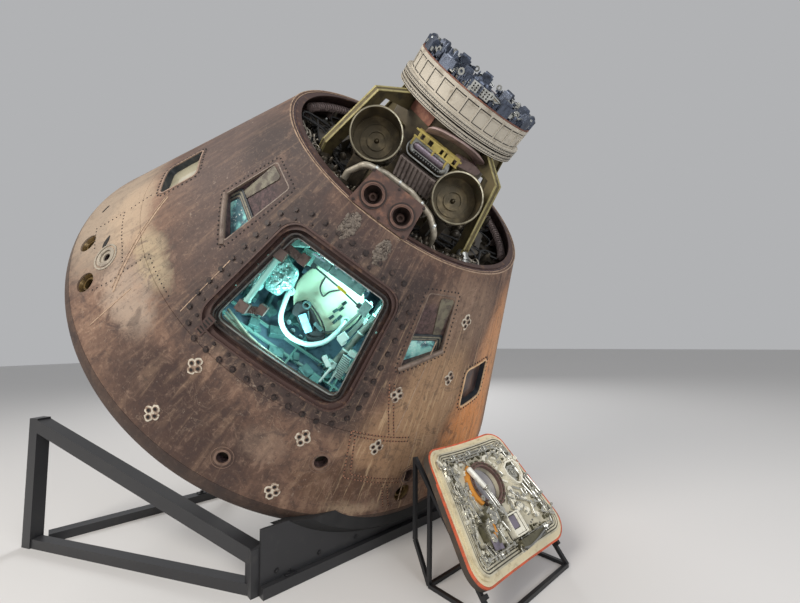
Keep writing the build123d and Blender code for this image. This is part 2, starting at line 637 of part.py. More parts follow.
def cover_block(right, up, width, length, height, turn=0.0):
    """Rounded block that follows the curve of the cover's inner face and stands off it by height."""
    plane = HATCH_PLANE * Pos(-right, up, -COVER_T - height - GASKET_W) * Rotation(0, 0, -turn)
    shape = extrude(plane * RectangleRounded(width, length, min(width, length) / 5), height + GASKET_W)
    return (shape & inner_zone).solids().sort_by(SortBy.VOLUME)[-1]


for name, blocks in COVER_GEAR.items():
    shape = [cover_block(*block) for block in blocks]
    write(name, *shape, place=COVER)
edge_wire = hatch_outline(-LATCH_INSET, COVER_CORNER_R).wires()[0]
cover_links = []
gear_places = [block for blocks in COVER_GEAR.values() for block in blocks]
for i in range(COVER_LATCHES):
    at = edge_wire.position_at((i + 0.5) / COVER_LATCHES)
    room = (LATCH_SIZE[0] / 2 + TOUCH, LATCH_SIZE[0] / 2 + TOUCH)
    if any(abs(-at.X - b[0]) < b[2] / 2 + room[0] and abs(at.Y - b[1]) < b[3] / 2 + room[1] for b in gear_places):
        continue
    along = edge_wire.tangent_at((i + 0.5) / COVER_LATCHES)
    cover_links.append(cover_block(-at.X, at.Y, *LATCH_SIZE, turn=-degrees(atan2(along.Y, along.X))))
write("cover_latches", *cover_links, place=COVER)
bezel = HATCH_PLANE * Pos(0, COVER_WINDOW_UP, -COVER_T - BEZEL_H)
ring = extrude(bezel * (Circle(COVER_WINDOW_R + BEZEL_W) - Circle(COVER_WINDOW_R - 4)), BEZEL_H + GASKET_W)
write("cover_bezel", ring & inner_zone, place=COVER)
rod_low = HATCH_PLANE * Pos(24, -72, -COVER_T - BEZEL_H - ROD_R - TOUCH)
rod_axis = Rotation(0, 0, -20)
spring = extrude(rod_low * rod_axis * Rotation(-90, 0, 0) * Circle(ROD_R), ROD_L)
write("cover_spring_rod", spring, place=COVER)

# Easel: two side frames of square bar, cross bars, and hooks under the cover's lower edge
half_l = HATCH_LENGTH / 2 + COVER_GROW
easel_parts = []
cover_bend = cone_radius(HATCH_MID_H - half_l * CONE_COS) / CONE_COS
rail_back = cover_bend - sqrt(cover_bend ** 2 - (EASEL_HALF_W - EASEL_BAR / 2) ** 2)
rail_depth = EASEL_BAR / 2 + TOUCH - rail_back
for side in (-1, 1):
    y = COVER_FACE[1] + side * EASEL_HALF_W
    top = cover_origin + face_up * half_l - face_normal * rail_depth
    slide = (top.Z - EASEL_BAR / 2) / face_up.Z
    foot = top - face_up * slide
    easel_parts.append(bar((foot.X, y, foot.Z), (top.X, y, top.Z), EASEL_BAR))
    rear = (EASEL_REAR_X, y, EASEL_BAR / 2)
    brace = top - face_up * EASEL_BRACE_DOWN
    knee = (top.X - 18, y, EASEL_KNEE_H)
    easel_parts.append(bar(rear, (brace.X, y, brace.Z), EASEL_BAR))
    easel_parts.append(bar(rear, knee, EASEL_BAR))
    easel_parts.append(bar(knee, (top.X, y, top.Z), EASEL_BAR))
    easel_parts.append(bar((foot.X, y, EASEL_BAR / 2), rear, EASEL_BAR))
    ledge_at = cover_origin - face_up * (half_l + EASEL_BAR / 2 + 4) - face_normal * rail_depth
    ledge_end = ledge_at + face_normal * (COVER_SHELL_T + rail_depth + LEDGE_PAST)
    easel_parts.append(bar((ledge_at.X, y, ledge_at.Z), (ledge_end.X, y, ledge_end.Z), EASEL_BAR))
easel = easel_parts[0]
for piece in easel_parts[1:]:
    easel += piece
for x, z in ((EASEL_REAR_X, EASEL_BAR / 2), (foot.X, foot.Z)):
    low_y = COVER_FACE[1] - EASEL_HALF_W
    easel += bar((x, low_y, z), (x, low_y + 2 * EASEL_HALF_W, z), EASEL_BAR)
write("easel", easel)

# Cradle: front and rear beams, side frames that splay outwards, plate and saddles
front_beam = Pos(ANCHOR_X, 0, BEAM_H / 2) * Box(BEAM_W, 2 * PLATE_HALF_W, BEAM_H)
rear_beam = Pos(-ANCHOR_X, 0, BEAM_H / 2) * Box(BEAM_W, 2 * SIDE_REAR[1] - 2 * ARM_W, BEAM_H)
for beam, x in ((front_beam, ANCHOR_X), (rear_beam, -ANCHOR_X)):
    for side in (-1, 1):
        hole = Pos(x, side * ANCHOR_Y, BEAM_H / 2) * Cylinder(ANCHOR_R, BEAM_H * 2)
        if x > 0:
            front_beam -= hole
        else:
            rear_beam -= hole
write("cradle_front_beam", front_beam)
write("cradle_rear_beam", rear_beam)
for side, name in ((-1, "left"), (1, "right")):
    fx, fy = ANCHOR_X - (PLATE_T + ARM_W) / 2 - TOUCH, SIDE_FRONT_Y
    rx, ry = SIDE_REAR
    fy, ry = side * fy, side * ry
    frame = bar((fx, fy, 0), (fx, fy, ARM_FRONT_H), ARM_W, up=(1, 0, 0))
    frame += bar((fx, fy, ARM_FRONT_H - ARM_W / 2), (rx, ry, ARM_REAR_H - ARM_W / 2), ARM_W)
    frame += bar((rx, ry, 0), (rx, ry, ARM_REAR_H), ARM_W, up=(rx - fx, ry - fy, 0))
    frame += bar((fx, fy, BEAM_H / 2), (rx, ry, BEAM_H / 2), ARM_W * 0.8, BEAM_H)
    frame -= front_beam
    frame -= rear_beam
    write(f"cradle_side_{name}", frame.solids().sort_by(SortBy.VOLUME)[-1])

capsule_outside = CAPSULE * capsule_body(0)
saddle_outside = CAPSULE * capsule_body(-SADDLE_T)
touch_outside = CAPSULE * capsule_body(-TOUCH)
saddle_zone = Pos(ANCHOR_X, 0, PLATE_TOP_H / 2) * Box(SADDLE_W, 2 * PLATE_HALF_W - 60, PLATE_TOP_H - 20)
saddle = (saddle_outside - touch_outside) & saddle_zone
write("front_saddle", saddle.solids().sort_by(SortBy.VOLUME)[-1])
plate = Pos(ANCHOR_X, 0, (BEAM_H + PLATE_TOP_H) / 2) * Box(PLATE_T, 2 * PLATE_HALF_W, PLATE_TOP_H - BEAM_H)
plate -= CAPSULE * capsule_body(-SADDLE_T - TOUCH)
write("front_plate", plate.solids().sort_by(SortBy.VOLUME)[-1])

rear_parts = []
for side in (-1, 1):
    centre = CAPSULE * Pos(0, 0, SHIELD_CENTRE_H)
    hub = centre.position
    dx, dy = REAR_SADDLE_X - hub.X, side * REAR_SADDLE_Y
    dz = -sqrt(SHIELD_R ** 2 - dx ** 2 - dy ** 2)
    normal = Vector(dx, dy, dz).normalized()
    pad_plane = Plane(origin=hub + normal * (SHIELD_R - 60), z_dir=normal)
    pad = extrude(pad_plane * Rectangle(REAR_SADDLE_SIZE, REAR_SADDLE_SIZE), 60 + SADDLE_T) - touch_outside
    end = hub + normal * (SHIELD_R + 20)
    strut = bar((-ANCHOR_X, side * REAR_SADDLE_Y, BEAM_H + TOUCH), (end.X, end.Y, end.Z), ARM_W)
    rear_parts.append((pad + strut) - touch_outside - rear_beam)
write("rear_saddle", *rear_parts)
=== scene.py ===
import bmesh
import bpy
import numpy as np
from math import radians
from mathutils import Matrix


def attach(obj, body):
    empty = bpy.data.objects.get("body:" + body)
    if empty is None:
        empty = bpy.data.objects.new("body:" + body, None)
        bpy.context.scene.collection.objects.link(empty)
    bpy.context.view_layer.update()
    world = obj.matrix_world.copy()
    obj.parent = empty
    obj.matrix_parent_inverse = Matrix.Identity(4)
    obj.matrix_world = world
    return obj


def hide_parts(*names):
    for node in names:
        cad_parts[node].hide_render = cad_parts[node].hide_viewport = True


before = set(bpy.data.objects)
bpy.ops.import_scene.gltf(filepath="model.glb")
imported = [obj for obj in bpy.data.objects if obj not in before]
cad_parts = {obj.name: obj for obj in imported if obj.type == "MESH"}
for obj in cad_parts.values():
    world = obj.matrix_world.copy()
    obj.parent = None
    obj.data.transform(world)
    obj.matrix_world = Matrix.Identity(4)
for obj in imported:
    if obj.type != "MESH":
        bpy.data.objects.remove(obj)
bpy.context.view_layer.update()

# Lengths are metres. The capsule frame has Z along the axis to the apex from the widest plane,
# the side hatch towards -Y, and X to the right of one who faces the hatch.
# Heights are taken along the axis, angles round it from the hatch.
CENTRE = np.array([-0.18, 0.0, 1.796])
TILT, ROLL = 56.29, 44.66
CONE_HALF = radians(33)
T, C, S = np.tan(CONE_HALF), np.cos(CONE_HALF), np.sin(CONE_HALF)
APEX, RIM, DECK = 3.0695, 1.5424, 1.336
TUNNEL_R = 0.385
CABIN_FLOOR = 0.33
# The side hatch: height of its middle, half widths at its foot and top, half length up the slope
HATCH_MID = 0.994
HATCH_HALF = (0.449, 0.337, 0.347)
# The hatch cover on its easel: thickness, bow of its outer face, that face's middle, and its lean
COVER_T, COVER_BOW = 0.084, 0.068
COVER_FACE = np.array([1.7, 0.048, 0.488])
COVER_LEAN = radians(37.9)
FIXED, LOOSE = "exhibit", "hatch_cover"
TO_DEGREES = 57.2958
rng = np.random.default_rng(17)


# Places and shapes

def turn(axis, degrees):
    """Rotation matrix about one axis."""
    return np.array(Matrix.Rotation(radians(degrees), 3, axis))


class Place:
    """Origin and three axes, kept as columns; called on points, it carries them out of itself."""

    def __init__(self, origin=(0, 0, 0), axes=None):
        self.origin = np.asarray(origin, float)
        self.axes = np.eye(3) if axes is None else np.asarray(axes, float)

    def __call__(self, points):
        return self.origin + np.asarray(points, float) @ self.axes.T

    def __matmul__(self, other):
        return Place(self(other.origin), self.axes @ other.axes)


class Shape:
    """Vertices and faces; faces is a list of index arrays, one for each number of corners."""

    def __init__(self, points, *faces):
        self.points = np.asarray(points, float).reshape(-1, 3)
        self.faces = [np.asarray(f, int) for f in faces]

    def __add__(self, other):
        shift = len(self.points)
        return Shape(np.vstack([self.points, other.points]), *self.faces, *[f + shift for f in other.faces])

    def at(self, place):
        """The shape carried out of a place."""
        return Shape(place(self.points), *self.faces)

    def moved(self, x=0.0, y=0.0, z=0.0, spin=0.0, axis="Z"):
        """The shape turned about an axis through its own origin, then shifted."""
        return self.at(Place((x, y, z), turn(axis, spin)))

    def lying(self):
        """The shape laid down: what pointed up its z points towards -y."""
        return self.moved(axis="X", spin=90)


def joined(shapes):
    """All shapes as one, with the index arrays shifted by the vertices before them."""
    shapes = list(shapes)
    shifts = np.cumsum([0] + [len(s.points) for s in shapes[:-1]])
    faces = [f + shift for s, shift in zip(shapes, shifts) for f in s.faces]
    return Shape(np.vstack([s.points for s in shapes]), *faces)


def copies(shape, places):
    """The shape once in each place."""
    return joined(shape.at(p) for p in places)


def skin(points, round_u=True, round_v=False, lids=True):
    """Quads over a grid of points (u, v, 3). round_u joins the last row to the first, round_v the
    last column; lids close both ends of an open v."""
    nu, nv = points.shape[:2]
    ids = np.arange(nu * nv).reshape(nu, nv)
    a = ids if round_u else ids[:-1]
    b = np.roll(ids, -1, 0) if round_u else ids[1:]
    if round_v:
        a2, b2 = np.roll(a, -1, 1), np.roll(b, -1, 1)
    else:
        a, b, a2, b2 = a[:, :-1], b[:, :-1], a[:, 1:], b[:, 1:]
    faces = [np.stack([a, b, b2, a2], -1).reshape(-1, 4)]
    if lids and round_u and not round_v:
        faces += [ids[None, ::-1, 0], ids[None, :, -1]]
    return Shape(points, *faces)


def lathe(profile, n=32):
    """A closed profile of (radius, height) turned about Z: x = r cos t, y = r sin t."""
    r, z = np.asarray(profile, float).T
    t = np.radians(np.linspace(0, 360, n, endpoint=False))[None, :]
    grid = np.stack([r[:, None] * np.cos(t), r[:, None] * np.sin(t), z[:, None] + 0 * t], -1)
    return skin(grid, round_v=True)


def ring(outer, inner, low, high, n=32):
    """A rectangle between two radii and two heights, turned about Z."""
    return lathe([(inner, low), (outer, low), (outer, high), (inner, high)], n)


def circle(radius, n=24):
    """Outline of n points at x = r cos t, y = r sin t."""
    t = np.linspace(0, 2 * np.pi, n, endpoint=False)
    return np.stack([radius * np.cos(t), radius * np.sin(t)], -1)


def drum(radius, low, high, n=24):
    """A circle pushed from one height to another."""
    return prism(circle(radius, n), low, high)


def oblong(width, length, corner, n=6):
    """Rectangle with round corners: an arc of n points about each corner's own centre."""
    t = np.radians(np.linspace(0, 90, n))
    arc = corner * np.stack([np.cos(t), np.sin(t)], -1)
    x, y = width / 2 - corner, length / 2 - corner
    sides = [(x, y, 1, 1), (-x, y, -1, 1), (-x, -y, -1, -1), (x, -y, 1, -1)]
    return np.vstack([(arc * (a, b) + (cx, cy))[::int(a * b)] for cx, cy, a, b in sides])


def prism(outline, low, high):
    """An outline of (x, y) pushed from one height to another."""
    outline = np.asarray(outline, float)
    rows = [np.column_stack([outline, np.full(len(outline), h)]) for h in (low, high)]
    return skin(np.stack(rows, 1))


def block(x, y, z, at=(0, 0, 0), spin=0.0):
    """Box of three sizes whose base is centred on a point, turned about Z."""
    corners = np.array([(-x, -y), (x, -y), (x, y), (-x, y)]) / 2
    return prism(corners, 0, z).moved(*at, spin=spin)


def smooth_line(points, per):
    """Catmull-Rom curve through the points, per samples on each span."""
    p = np.asarray(points, float)
    p = np.vstack([2 * p[0] - p[1], p, 2 * p[-1] - p[-2]])
    t = np.linspace(0, 1, per, endpoint=False)[:, None, None]
    a, b, c, d = p[:-3], p[1:-2], p[2:-1], p[3:]
    bend, twist = 2 * a - 5 * b + 4 * c - d, 3 * b - a - 3 * c + d
    spans = 0.5 * (2 * b + (c - a) * t + bend * t ** 2 + twist * t ** 3)
    return np.vstack([spans.transpose(1, 0, 2).reshape(-1, 3), p[-2]])


def pipe(points, radius, n=10, per=8, section=None):
    """A round section, or the given one, carried along a smooth line, or along the points themselves
    where per is zero. At each point its side vector is the one before, made square to the line."""
    line = smooth_line(points, per) if per else np.asarray(points, float)
    ahead = np.gradient(line, axis=0)
    ahead /= np.linalg.norm(ahead, axis=1)[:, None]
    side = np.zeros_like(line)
    side[0] = np.cross(ahead[0], np.eye(3)[np.argmin(abs(ahead[0]))])
    for i in range(1, len(line)):
        side[i] = side[i - 1] - ahead[i] * (side[i - 1] @ ahead[i])
    side /= np.linalg.norm(side, axis=1)[:, None]
    other = np.cross(ahead, side)
    flat = circle(1.0, n) * radius if section is None else np.asarray(section, float)
    grid = line[None] + flat[:, None, :1] * side[None] + flat[:, None, 1:] * other[None]
    return skin(grid)


def rod(start, end, radius, n=12):
    """Round bar from one point to another."""
    return pipe([start, end], radius, n, per=0)


def bar(start, end, width, depth):
    """Square bar from one point to another."""
    section = np.array([(-width, -depth), (width, -depth), (width, depth), (-width, depth)]) / 2
    return pipe([start, end], 0, per=0, section=section)


def bolt(radius, height, washer=1.5):
    """Hexagon head on a thin round washer."""
    head = prism(circle(radius, 6), height * 0.2, height)
    return prism(circle(radius * washer, 12), 0, height * 0.2) + head if washer else head


def dome(radius, height, n=8):
    """Low round head: three rings on a quarter ellipse, closed at its crown."""
    t = np.radians([0, 35, 65, 90])
    profile = np.stack([radius * np.cos(t), height * np.sin(t)], -1)
    return lathe(np.vstack([[(0, 0)], profile]), n)


# The cone, and how flat shapes are laid on it

CAPSULE = Place(CENTRE, turn("Y", TILT) @ turn("Z", ROLL))


def cone_r(height, inset=0.0):
    """Radius of the cone, or of one inset from it, at a height: (apex - z) tan - inset / cos."""
    return (APEX - height) * T - inset / C


def slope(angle, height, inset=0.0):
    """Place on the cone, in the capsule frame: x across, y up the slope, z outwards."""
    t = radians(angle)
    sn, cs = np.sin(t), np.cos(t)
    r = cone_r(height, inset)
    axes = np.array([(cs, sn, 0), (-S * sn, S * cs, C), (C * sn, -C * cs, S)]).T
    return Place((r * sn, -r * cs, height), axes)


def cone_lift(base, points, inset=0.0):
    """Distance along the place's z from its own plane to the cone: the near root of the quadratic
    x2 + y2 = (tan2) (apex - z)2 for a point that slides along that z."""
    p, n = base(points * (1, 1, 0)), base.axes[:, 2]
    gap = APEX - inset / S - p[:, 2]
    a = n[0] ** 2 + n[1] ** 2 - T ** 2 * n[2] ** 2
    b = p[:, 0] * n[0] + p[:, 1] * n[1] + T ** 2 * gap * n[2]
    c = p[:, 0] ** 2 + p[:, 1] ** 2 - (T * gap) ** 2
    return -c / (b + np.sqrt(np.maximum(b * b - a * c, 0)))


def laid(shape, angle, height, spin=0.0):
    """Lays a flat shape on the cone, in the capsule frame; its z becomes height over the surface."""
    base = slope(angle, height) @ Place(axes=turn("Z", spin))
    z = shape.points[:, 2] + cone_lift(base, shape.points)
    return Shape(base(np.column_stack([shape.points[:, :2], z])), *shape.faces)


HATCH = slope(0, HATCH_MID)
lean_out = np.array([np.cos(COVER_LEAN), 0, np.sin(COVER_LEAN)])
cover_up = np.array([-np.sin(COVER_LEAN), 0, np.cos(COVER_LEAN)])
SEAT = Place(COVER_FACE - lean_out * (COVER_T + COVER_BOW), np.array([(0, -1, 0), cover_up, -lean_out]).T)


def on_cover(shape):
    """Lays a shape on the inner face of the hatch cover as it stands on the easel: x right and y up
    as one sees it, z out of the face."""
    p = shape.points * (-1, 1, 1)
    z = cone_lift(HATCH, p, COVER_T) - p[:, 2]
    return Shape(SEAT(np.column_stack([p[:, :2], z])), *shape.faces)


def upon(shape, node):
    """Lays a flat shape on the highest face of a CAD piece of the cover, seen as on_cover sees it."""
    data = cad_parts[node].data
    points = np.empty(3 * len(data.vertices))
    data.vertices.foreach_get("co", points)
    level = ((points.reshape(-1, 3) - SEAT.origin) @ SEAT.axes)[:, 2].min()
    return Shape(SEAT(shape.points * (-1, 1, -1) + (0, 0, level)), *shape.faces)


def rounded(corners, r, n=7, grow=0.0):
    """Outline whose corners are arcs of one radius; grow first moves each corner out along its bisector."""
    corners = np.asarray(corners, float)
    back, on = np.roll(corners, 1, 0) - corners, np.roll(corners, -1, 0) - corners
    back, on = (v / np.linalg.norm(v, axis=1)[:, None] for v in (back, on))
    half_turn = np.arccos((back * on).sum(1))[:, None] / 2
    bisector = (back + on) / np.linalg.norm(back + on, axis=1)[:, None]
    mid = corners + bisector * (r - grow) / np.sin(half_turn)
    out = []
    for p, a, b, m, h in zip(corners - bisector * grow / np.sin(half_turn), back, on, mid, half_turn):
        start, end = p + a * r / np.tan(h) - m, p + b * r / np.tan(h) - m
        sweep = np.arctan2(start[0] * end[1] - start[1] * end[0], start @ end)
        t = np.linspace(0, sweep, n)
        cs, sn = np.cos(t), np.sin(t)
        out.append(m + np.stack([start[0] * cs - start[1] * sn, start[0] * sn + start[1] * cs], -1))
    return np.vstack(out)


def hatch_line(grow, n=7, corner=0.062):
    """Round-cornered trapezoid of the hatch, grown by an even margin."""
    bottom, top, half = HATCH_HALF
    return rounded([(bottom, -half), (top, half), (-top, half), (-bottom, -half)], max(corner + grow, 0.02),
                   n, grow)


def evenly(line, count, start=0.0):
    """Points at equal steps round a closed line of (x, y), and the direction of travel in degrees."""
    p = np.vstack([line, line[:1]])
    run = np.r_[0, np.cumsum(np.linalg.norm(np.diff(p, axis=0), axis=1))]
    s = (start + np.arange(count)) / count * run[-1] % (run[-1] + 1e-9)
    xy = np.stack([np.interp(s, run, p[:, k]) for k in (0, 1)], -1)
    i = np.clip(np.searchsorted(run, s, side="right") - 1, 0, len(p) - 2)
    d = p[i + 1] - p[i]
    return xy, np.degrees(np.arctan2(d[:, 1], d[:, 0]))


def dense(line, step):
    """The same closed line with points no farther apart than step, its own corners kept."""
    p = np.vstack([line, line[:1]])
    out = []
    for a, b in zip(p[:-1], p[1:]):
        k = max(1, int(np.ceil(np.linalg.norm(b - a) / step)))
        out.append(a + (b - a) * np.linspace(0, 1, k, endpoint=False)[:, None])
    return np.vstack(out)


def band(outer, inner, low, high):
    """Frame between two outlines, each walked in the same number of even steps."""
    n = max(len(outer), len(inner))
    outer, inner = (evenly(line, 4 * n)[0] for line in (outer, inner))
    corners = ((inner, low), (outer, low), (outer, high), (inner, high))
    rows = [np.column_stack([line, np.full(len(line), z)]) for line, z in corners]
    return skin(np.stack(rows, 0), round_v=True)


WELD, BEVEL_ANGLE = 1e-6, radians(40)


def piece(name, shape, look, slot, body=FIXED, smooth=35, bevel=0.0, replaces=()):
    """One object from a shape: seams closed, faces turned outwards, edges sharp past smooth degrees,
    and rounded by a bevel where one is asked for."""
    data = bpy.data.meshes.new(name)
    sizes = np.concatenate([np.full(len(f), f.shape[1]) for f in shape.faces])
    data.vertices.add(len(shape.points))
    data.vertices.foreach_set("co", shape.points.ravel())
    data.loops.add(int(sizes.sum()))
    data.loops.foreach_set("vertex_index", np.concatenate([f.ravel() for f in shape.faces]))
    data.polygons.add(len(sizes))
    data.polygons.foreach_set("loop_start", np.cumsum(sizes) - sizes)
    data.update(calc_edges=True)
    mesh = bmesh.new()
    mesh.from_mesh(data)
    bmesh.ops.remove_doubles(mesh, verts=mesh.verts, dist=WELD)
    bmesh.ops.recalc_face_normals(mesh, faces=mesh.faces)
    mesh.to_mesh(data)
    mesh.free()
    data.polygons.foreach_set("use_smooth", np.ones(len(data.polygons), bool))
    data.set_sharp_from_angle(angle=radians(smooth))
    data.materials.append(looks[look])
    thing = bpy.data.objects.new(name, data)
    bpy.context.scene.collection.objects.link(thing)
    if bevel:
        edge = thing.modifiers.new("edges", "BEVEL")
        edge.width, edge.segments = bevel, 2
        edge.limit_method, edge.angle_limit = "ANGLE", BEVEL_ANGLE
        edge.harden_normals = False
    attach(thing, body)
    if replaces:
        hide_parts(*replaces)
    return thing


def capsule_piece(name, shape, look, slot, **more):
    """A piece of the exhibit whose shape is drawn in the capsule frame."""
    return piece(name, shape.at(CAPSULE), look, slot, **more)


def cover_piece(name, shape, look, slot, **more):
    """A piece that comes away with the hatch cover."""
    return piece(name, shape, look, slot, body=LOOSE, **more)


# Shader arithmetic

def maths(operation, swapped=False):
    """Method that adds a Math node on a socket and any other value, which comes first where swapped."""
    def method(self, *other):
        values = (*other, self) if swapped else (self, *other)
        return self.net.node("Math", dict(enumerate(values)), operation=operation)
    return method


class Value:
    """A shader socket; arithmetic on it adds Math nodes."""

    def __init__(self, net, socket):
        self.net, self.socket = net, socket

    __add__ = __radd__ = maths("ADD")
    __sub__, __rsub__ = maths("SUBTRACT"), maths("SUBTRACT", swapped=True)
    __mul__ = __rmul__ = maths("MULTIPLY")
    __truediv__ = maths("DIVIDE")
    __gt__, __lt__ = maths("GREATER_THAN"), maths("LESS_THAN")
    most = maths("MAXIMUM")
    arctan2 = maths("ARCTAN2")
    root, __abs__ = maths("SQRT"), maths("ABSOLUTE")

    def __neg__(self):
        return self * -1

    def ease(self, low, high, start=0.0, end=1.0):
        """Smooth step from start to end as the value goes from low to high."""
        values = {"Value": self, "From Min": low, "From Max": high, "To Min": start, "To Max": end}
        return self.net.node("MapRange", values, interpolation_type="SMOOTHSTEP")


class Net:
    """One material: its shader, and one method that adds any node."""

    def __init__(self, name, rough=0.5, metal=0.0, **fixed):
        self.material = bpy.data.materials.new(name)
        self.material.use_nodes = True
        self.tree = self.material.node_tree
        self.shader = self.tree.nodes["Principled BSDF"]
        fixed = {key.replace("_", " "): value for key, value in fixed.items()}
        self.put({"Roughness": rough, "Metallic": metal, **fixed})

    def put(self, values, node=None):
        """Links or sets sockets of a node, or of the shader, by name or number."""
        for key, value in values.items():
            socket = (node or self.shader).inputs[key]
            if isinstance(value, Value):
                self.tree.links.new(value.socket, socket)
            elif isinstance(value, tuple) and len(socket.default_value) == 4:
                socket.default_value = (*value, 1.0)
            else:
                socket.default_value = value

    def node(self, kind, inputs=(), out=0, **settings):
        """Adds a node of any kind: its settings and a ramp's stops first, then its sockets."""
        made = self.tree.nodes.new("ShaderNode" + kind)
        stops = settings.pop("stops", None)
        for key, value in settings.items():
            setattr(made, key, value)
        if stops:
            ramp = made.color_ramp.elements
            while len(ramp) < len(stops):
                ramp.new(1.0)
            for element, (at, colour) in zip(ramp, stops):
                element.position, element.color = at, (*colour, 1.0)
        self.put(dict(inputs), made)
        return Value(self, made.outputs[out])

    def spot(self):
        """Object coordinates."""
        return self.node("TexCoord", out="Object")

    def noise(self, at, scale, detail=4.0, rough=0.55, twist=0.0):
        """Cloudy noise about 0.5."""
        values = {"Vector": at, "Scale": scale, "Detail": detail, "Roughness": rough, "Distortion": twist}
        return self.node("TexNoise", values)

    def cells(self, at, scale):
        """Distance to the nearest of scattered points."""
        return self.node("TexVoronoi", {"Vector": at, "Scale": scale}, feature="F1")

    def blend(self, mask, under, over):
        """Colour that goes from under to over as the mask goes from 0 to 1."""
        return self.node("Mix", {0: mask, 6: under, 7: over}, out=2, data_type="RGBA", blend_type="MIX")

    def ramp(self, value, *stops):
        """Colour read off stops of (position, display colour)."""
        stops = [(at, srgb(*colour)) for at, colour in stops]
        return self.node("ValToRGB", {"Fac": value}, stops=stops)

    def bump(self, height, distance, strength=0.5):
        """Relief of the shader's normal."""
        values = {"Height": height, "Distance": distance, "Strength": strength}
        self.put({"Normal": self.node("Bump", values)})

    def capsule(self):
        """Place of a point in the capsule frame: height, angle from the hatch, radius, and its x and y."""
        p = self.node("VectorMath", {0: self.spot(), 1: tuple(CENTRE)}, operation="SUBTRACT")
        x, y, z = (self.node("VectorMath", {0: p, 1: tuple(axis)}, out="Value", operation="DOT_PRODUCT")
                   for axis in CAPSULE.axes.T)
        angle = x.arctan2(-y) * TO_DEGREES
        return z, angle, (x * x + y * y).root(), (x, y)


def srgb(r, g, b):
    """Display colour of 0 to 255 as linear light."""
    c = np.array([r, g, b]) / 255
    return tuple(np.where(c < 0.04045, c / 12.92, ((c + 0.055) / 1.055) ** 2.4).tolist())


def finish(name, colour, worn, rough=0.5, metal=0.0, scale=14.0, cover=(0.45, 0.7), dirt=0.35, grain=0.0006):
    """Plain finish for hardware: a main colour, a worn one in patches, darker dirt in broad
    clouds, and a fine grain; roughness follows the wear."""
    net = Net(name, rough, metal)
    at = net.spot()
    wear = net.noise(at, scale, 6.0, 0.62).ease(*cover)
    cloud = net.noise(at, scale * 0.22, 3.0).ease(0.35, 0.7)
    base = net.blend(wear, srgb(*colour), srgb(*worn))
    grime = tuple(c * 0.35 for c in srgb(*colour))
    net.put({"Base Color": net.blend(cloud * dirt, base, grime),
             "Roughness": rough + wear * 0.15 - cloud * 0.05})
    net.bump(net.noise(at, scale * 9, 3.0) + wear * 0.6, grain)
    return net.material


# The scorched coating, with light and shade painted into it. The dark clouds high on the cone, at -58, -40
# and -30 degrees and at 2 degrees by the rim, are painted shade where the room's light falls off; the orange
# clouds right of the hatch, at 64 and 74 degrees, are painted warm lamp light. Each row: angle and height of
# a cloud's middle, its spread in degrees and in metres, its colour, and how much of it shows
CLOUDS = (
    (-62, 0.3, 22, 0.34, (152, 136, 118), 0.88), (-52, 0.5, 12, 0.18, (172, 150, 126), 0.75),
    (-36, 0.6, 8, 0.1, (200, 184, 150), 0.45), (-32, 0.4, 10, 0.14, (176, 158, 140), 0.6),
    (-58, 1.15, 26, 0.4, (78, 64, 60), 0.85), (-40, 1.42, 24, 0.22, (52, 41, 39), 0.88),
    (-30, 1.1, 14, 0.42, (72, 56, 51), 0.8), (-8, 0.26, 18, 0.24, (60, 41, 34), 0.92),
    (2, 1.38, 26, 0.22, (56, 38, 34), 0.86), (8, 0.36, 5, 0.09, (128, 106, 90), 0.6),
    (-14, 0.35, 8, 0.11, (56, 37, 31), 0.8), (31, 0.14, 7, 0.05, (172, 150, 122), 0.55),
    (36, 0.53, 13, 0.28, (158, 124, 92), 0.8), (42, 0.85, 13, 0.42, (160, 128, 96), 0.8),
    (26, 0.27, 11, 0.14, (78, 52, 35), 0.8), (88, 0.7, 26, 0.75, (158, 120, 92), 0.75),
    (64, 0.44, 14, 0.5, (222, 146, 82), 0.88), (74, 1.0, 14, 0.42, (206, 146, 98), 0.75),
    (46, 1.3, 18, 0.24, (122, 100, 84), 0.75), (110, 0.6, 30, 0.5, (150, 118, 92), 0.7),
    (165, 0.9, 40, 0.7, (104, 84, 74), 0.8), (-115, 0.75, 30, 0.6, (140, 118, 104), 0.7),
)
# Bare patches below the rim: angle, height, half width, half length
ERODED = ((-5.6, 1.452, 0.046, 0.085), (6.8, 1.44, 0.036, 0.08))


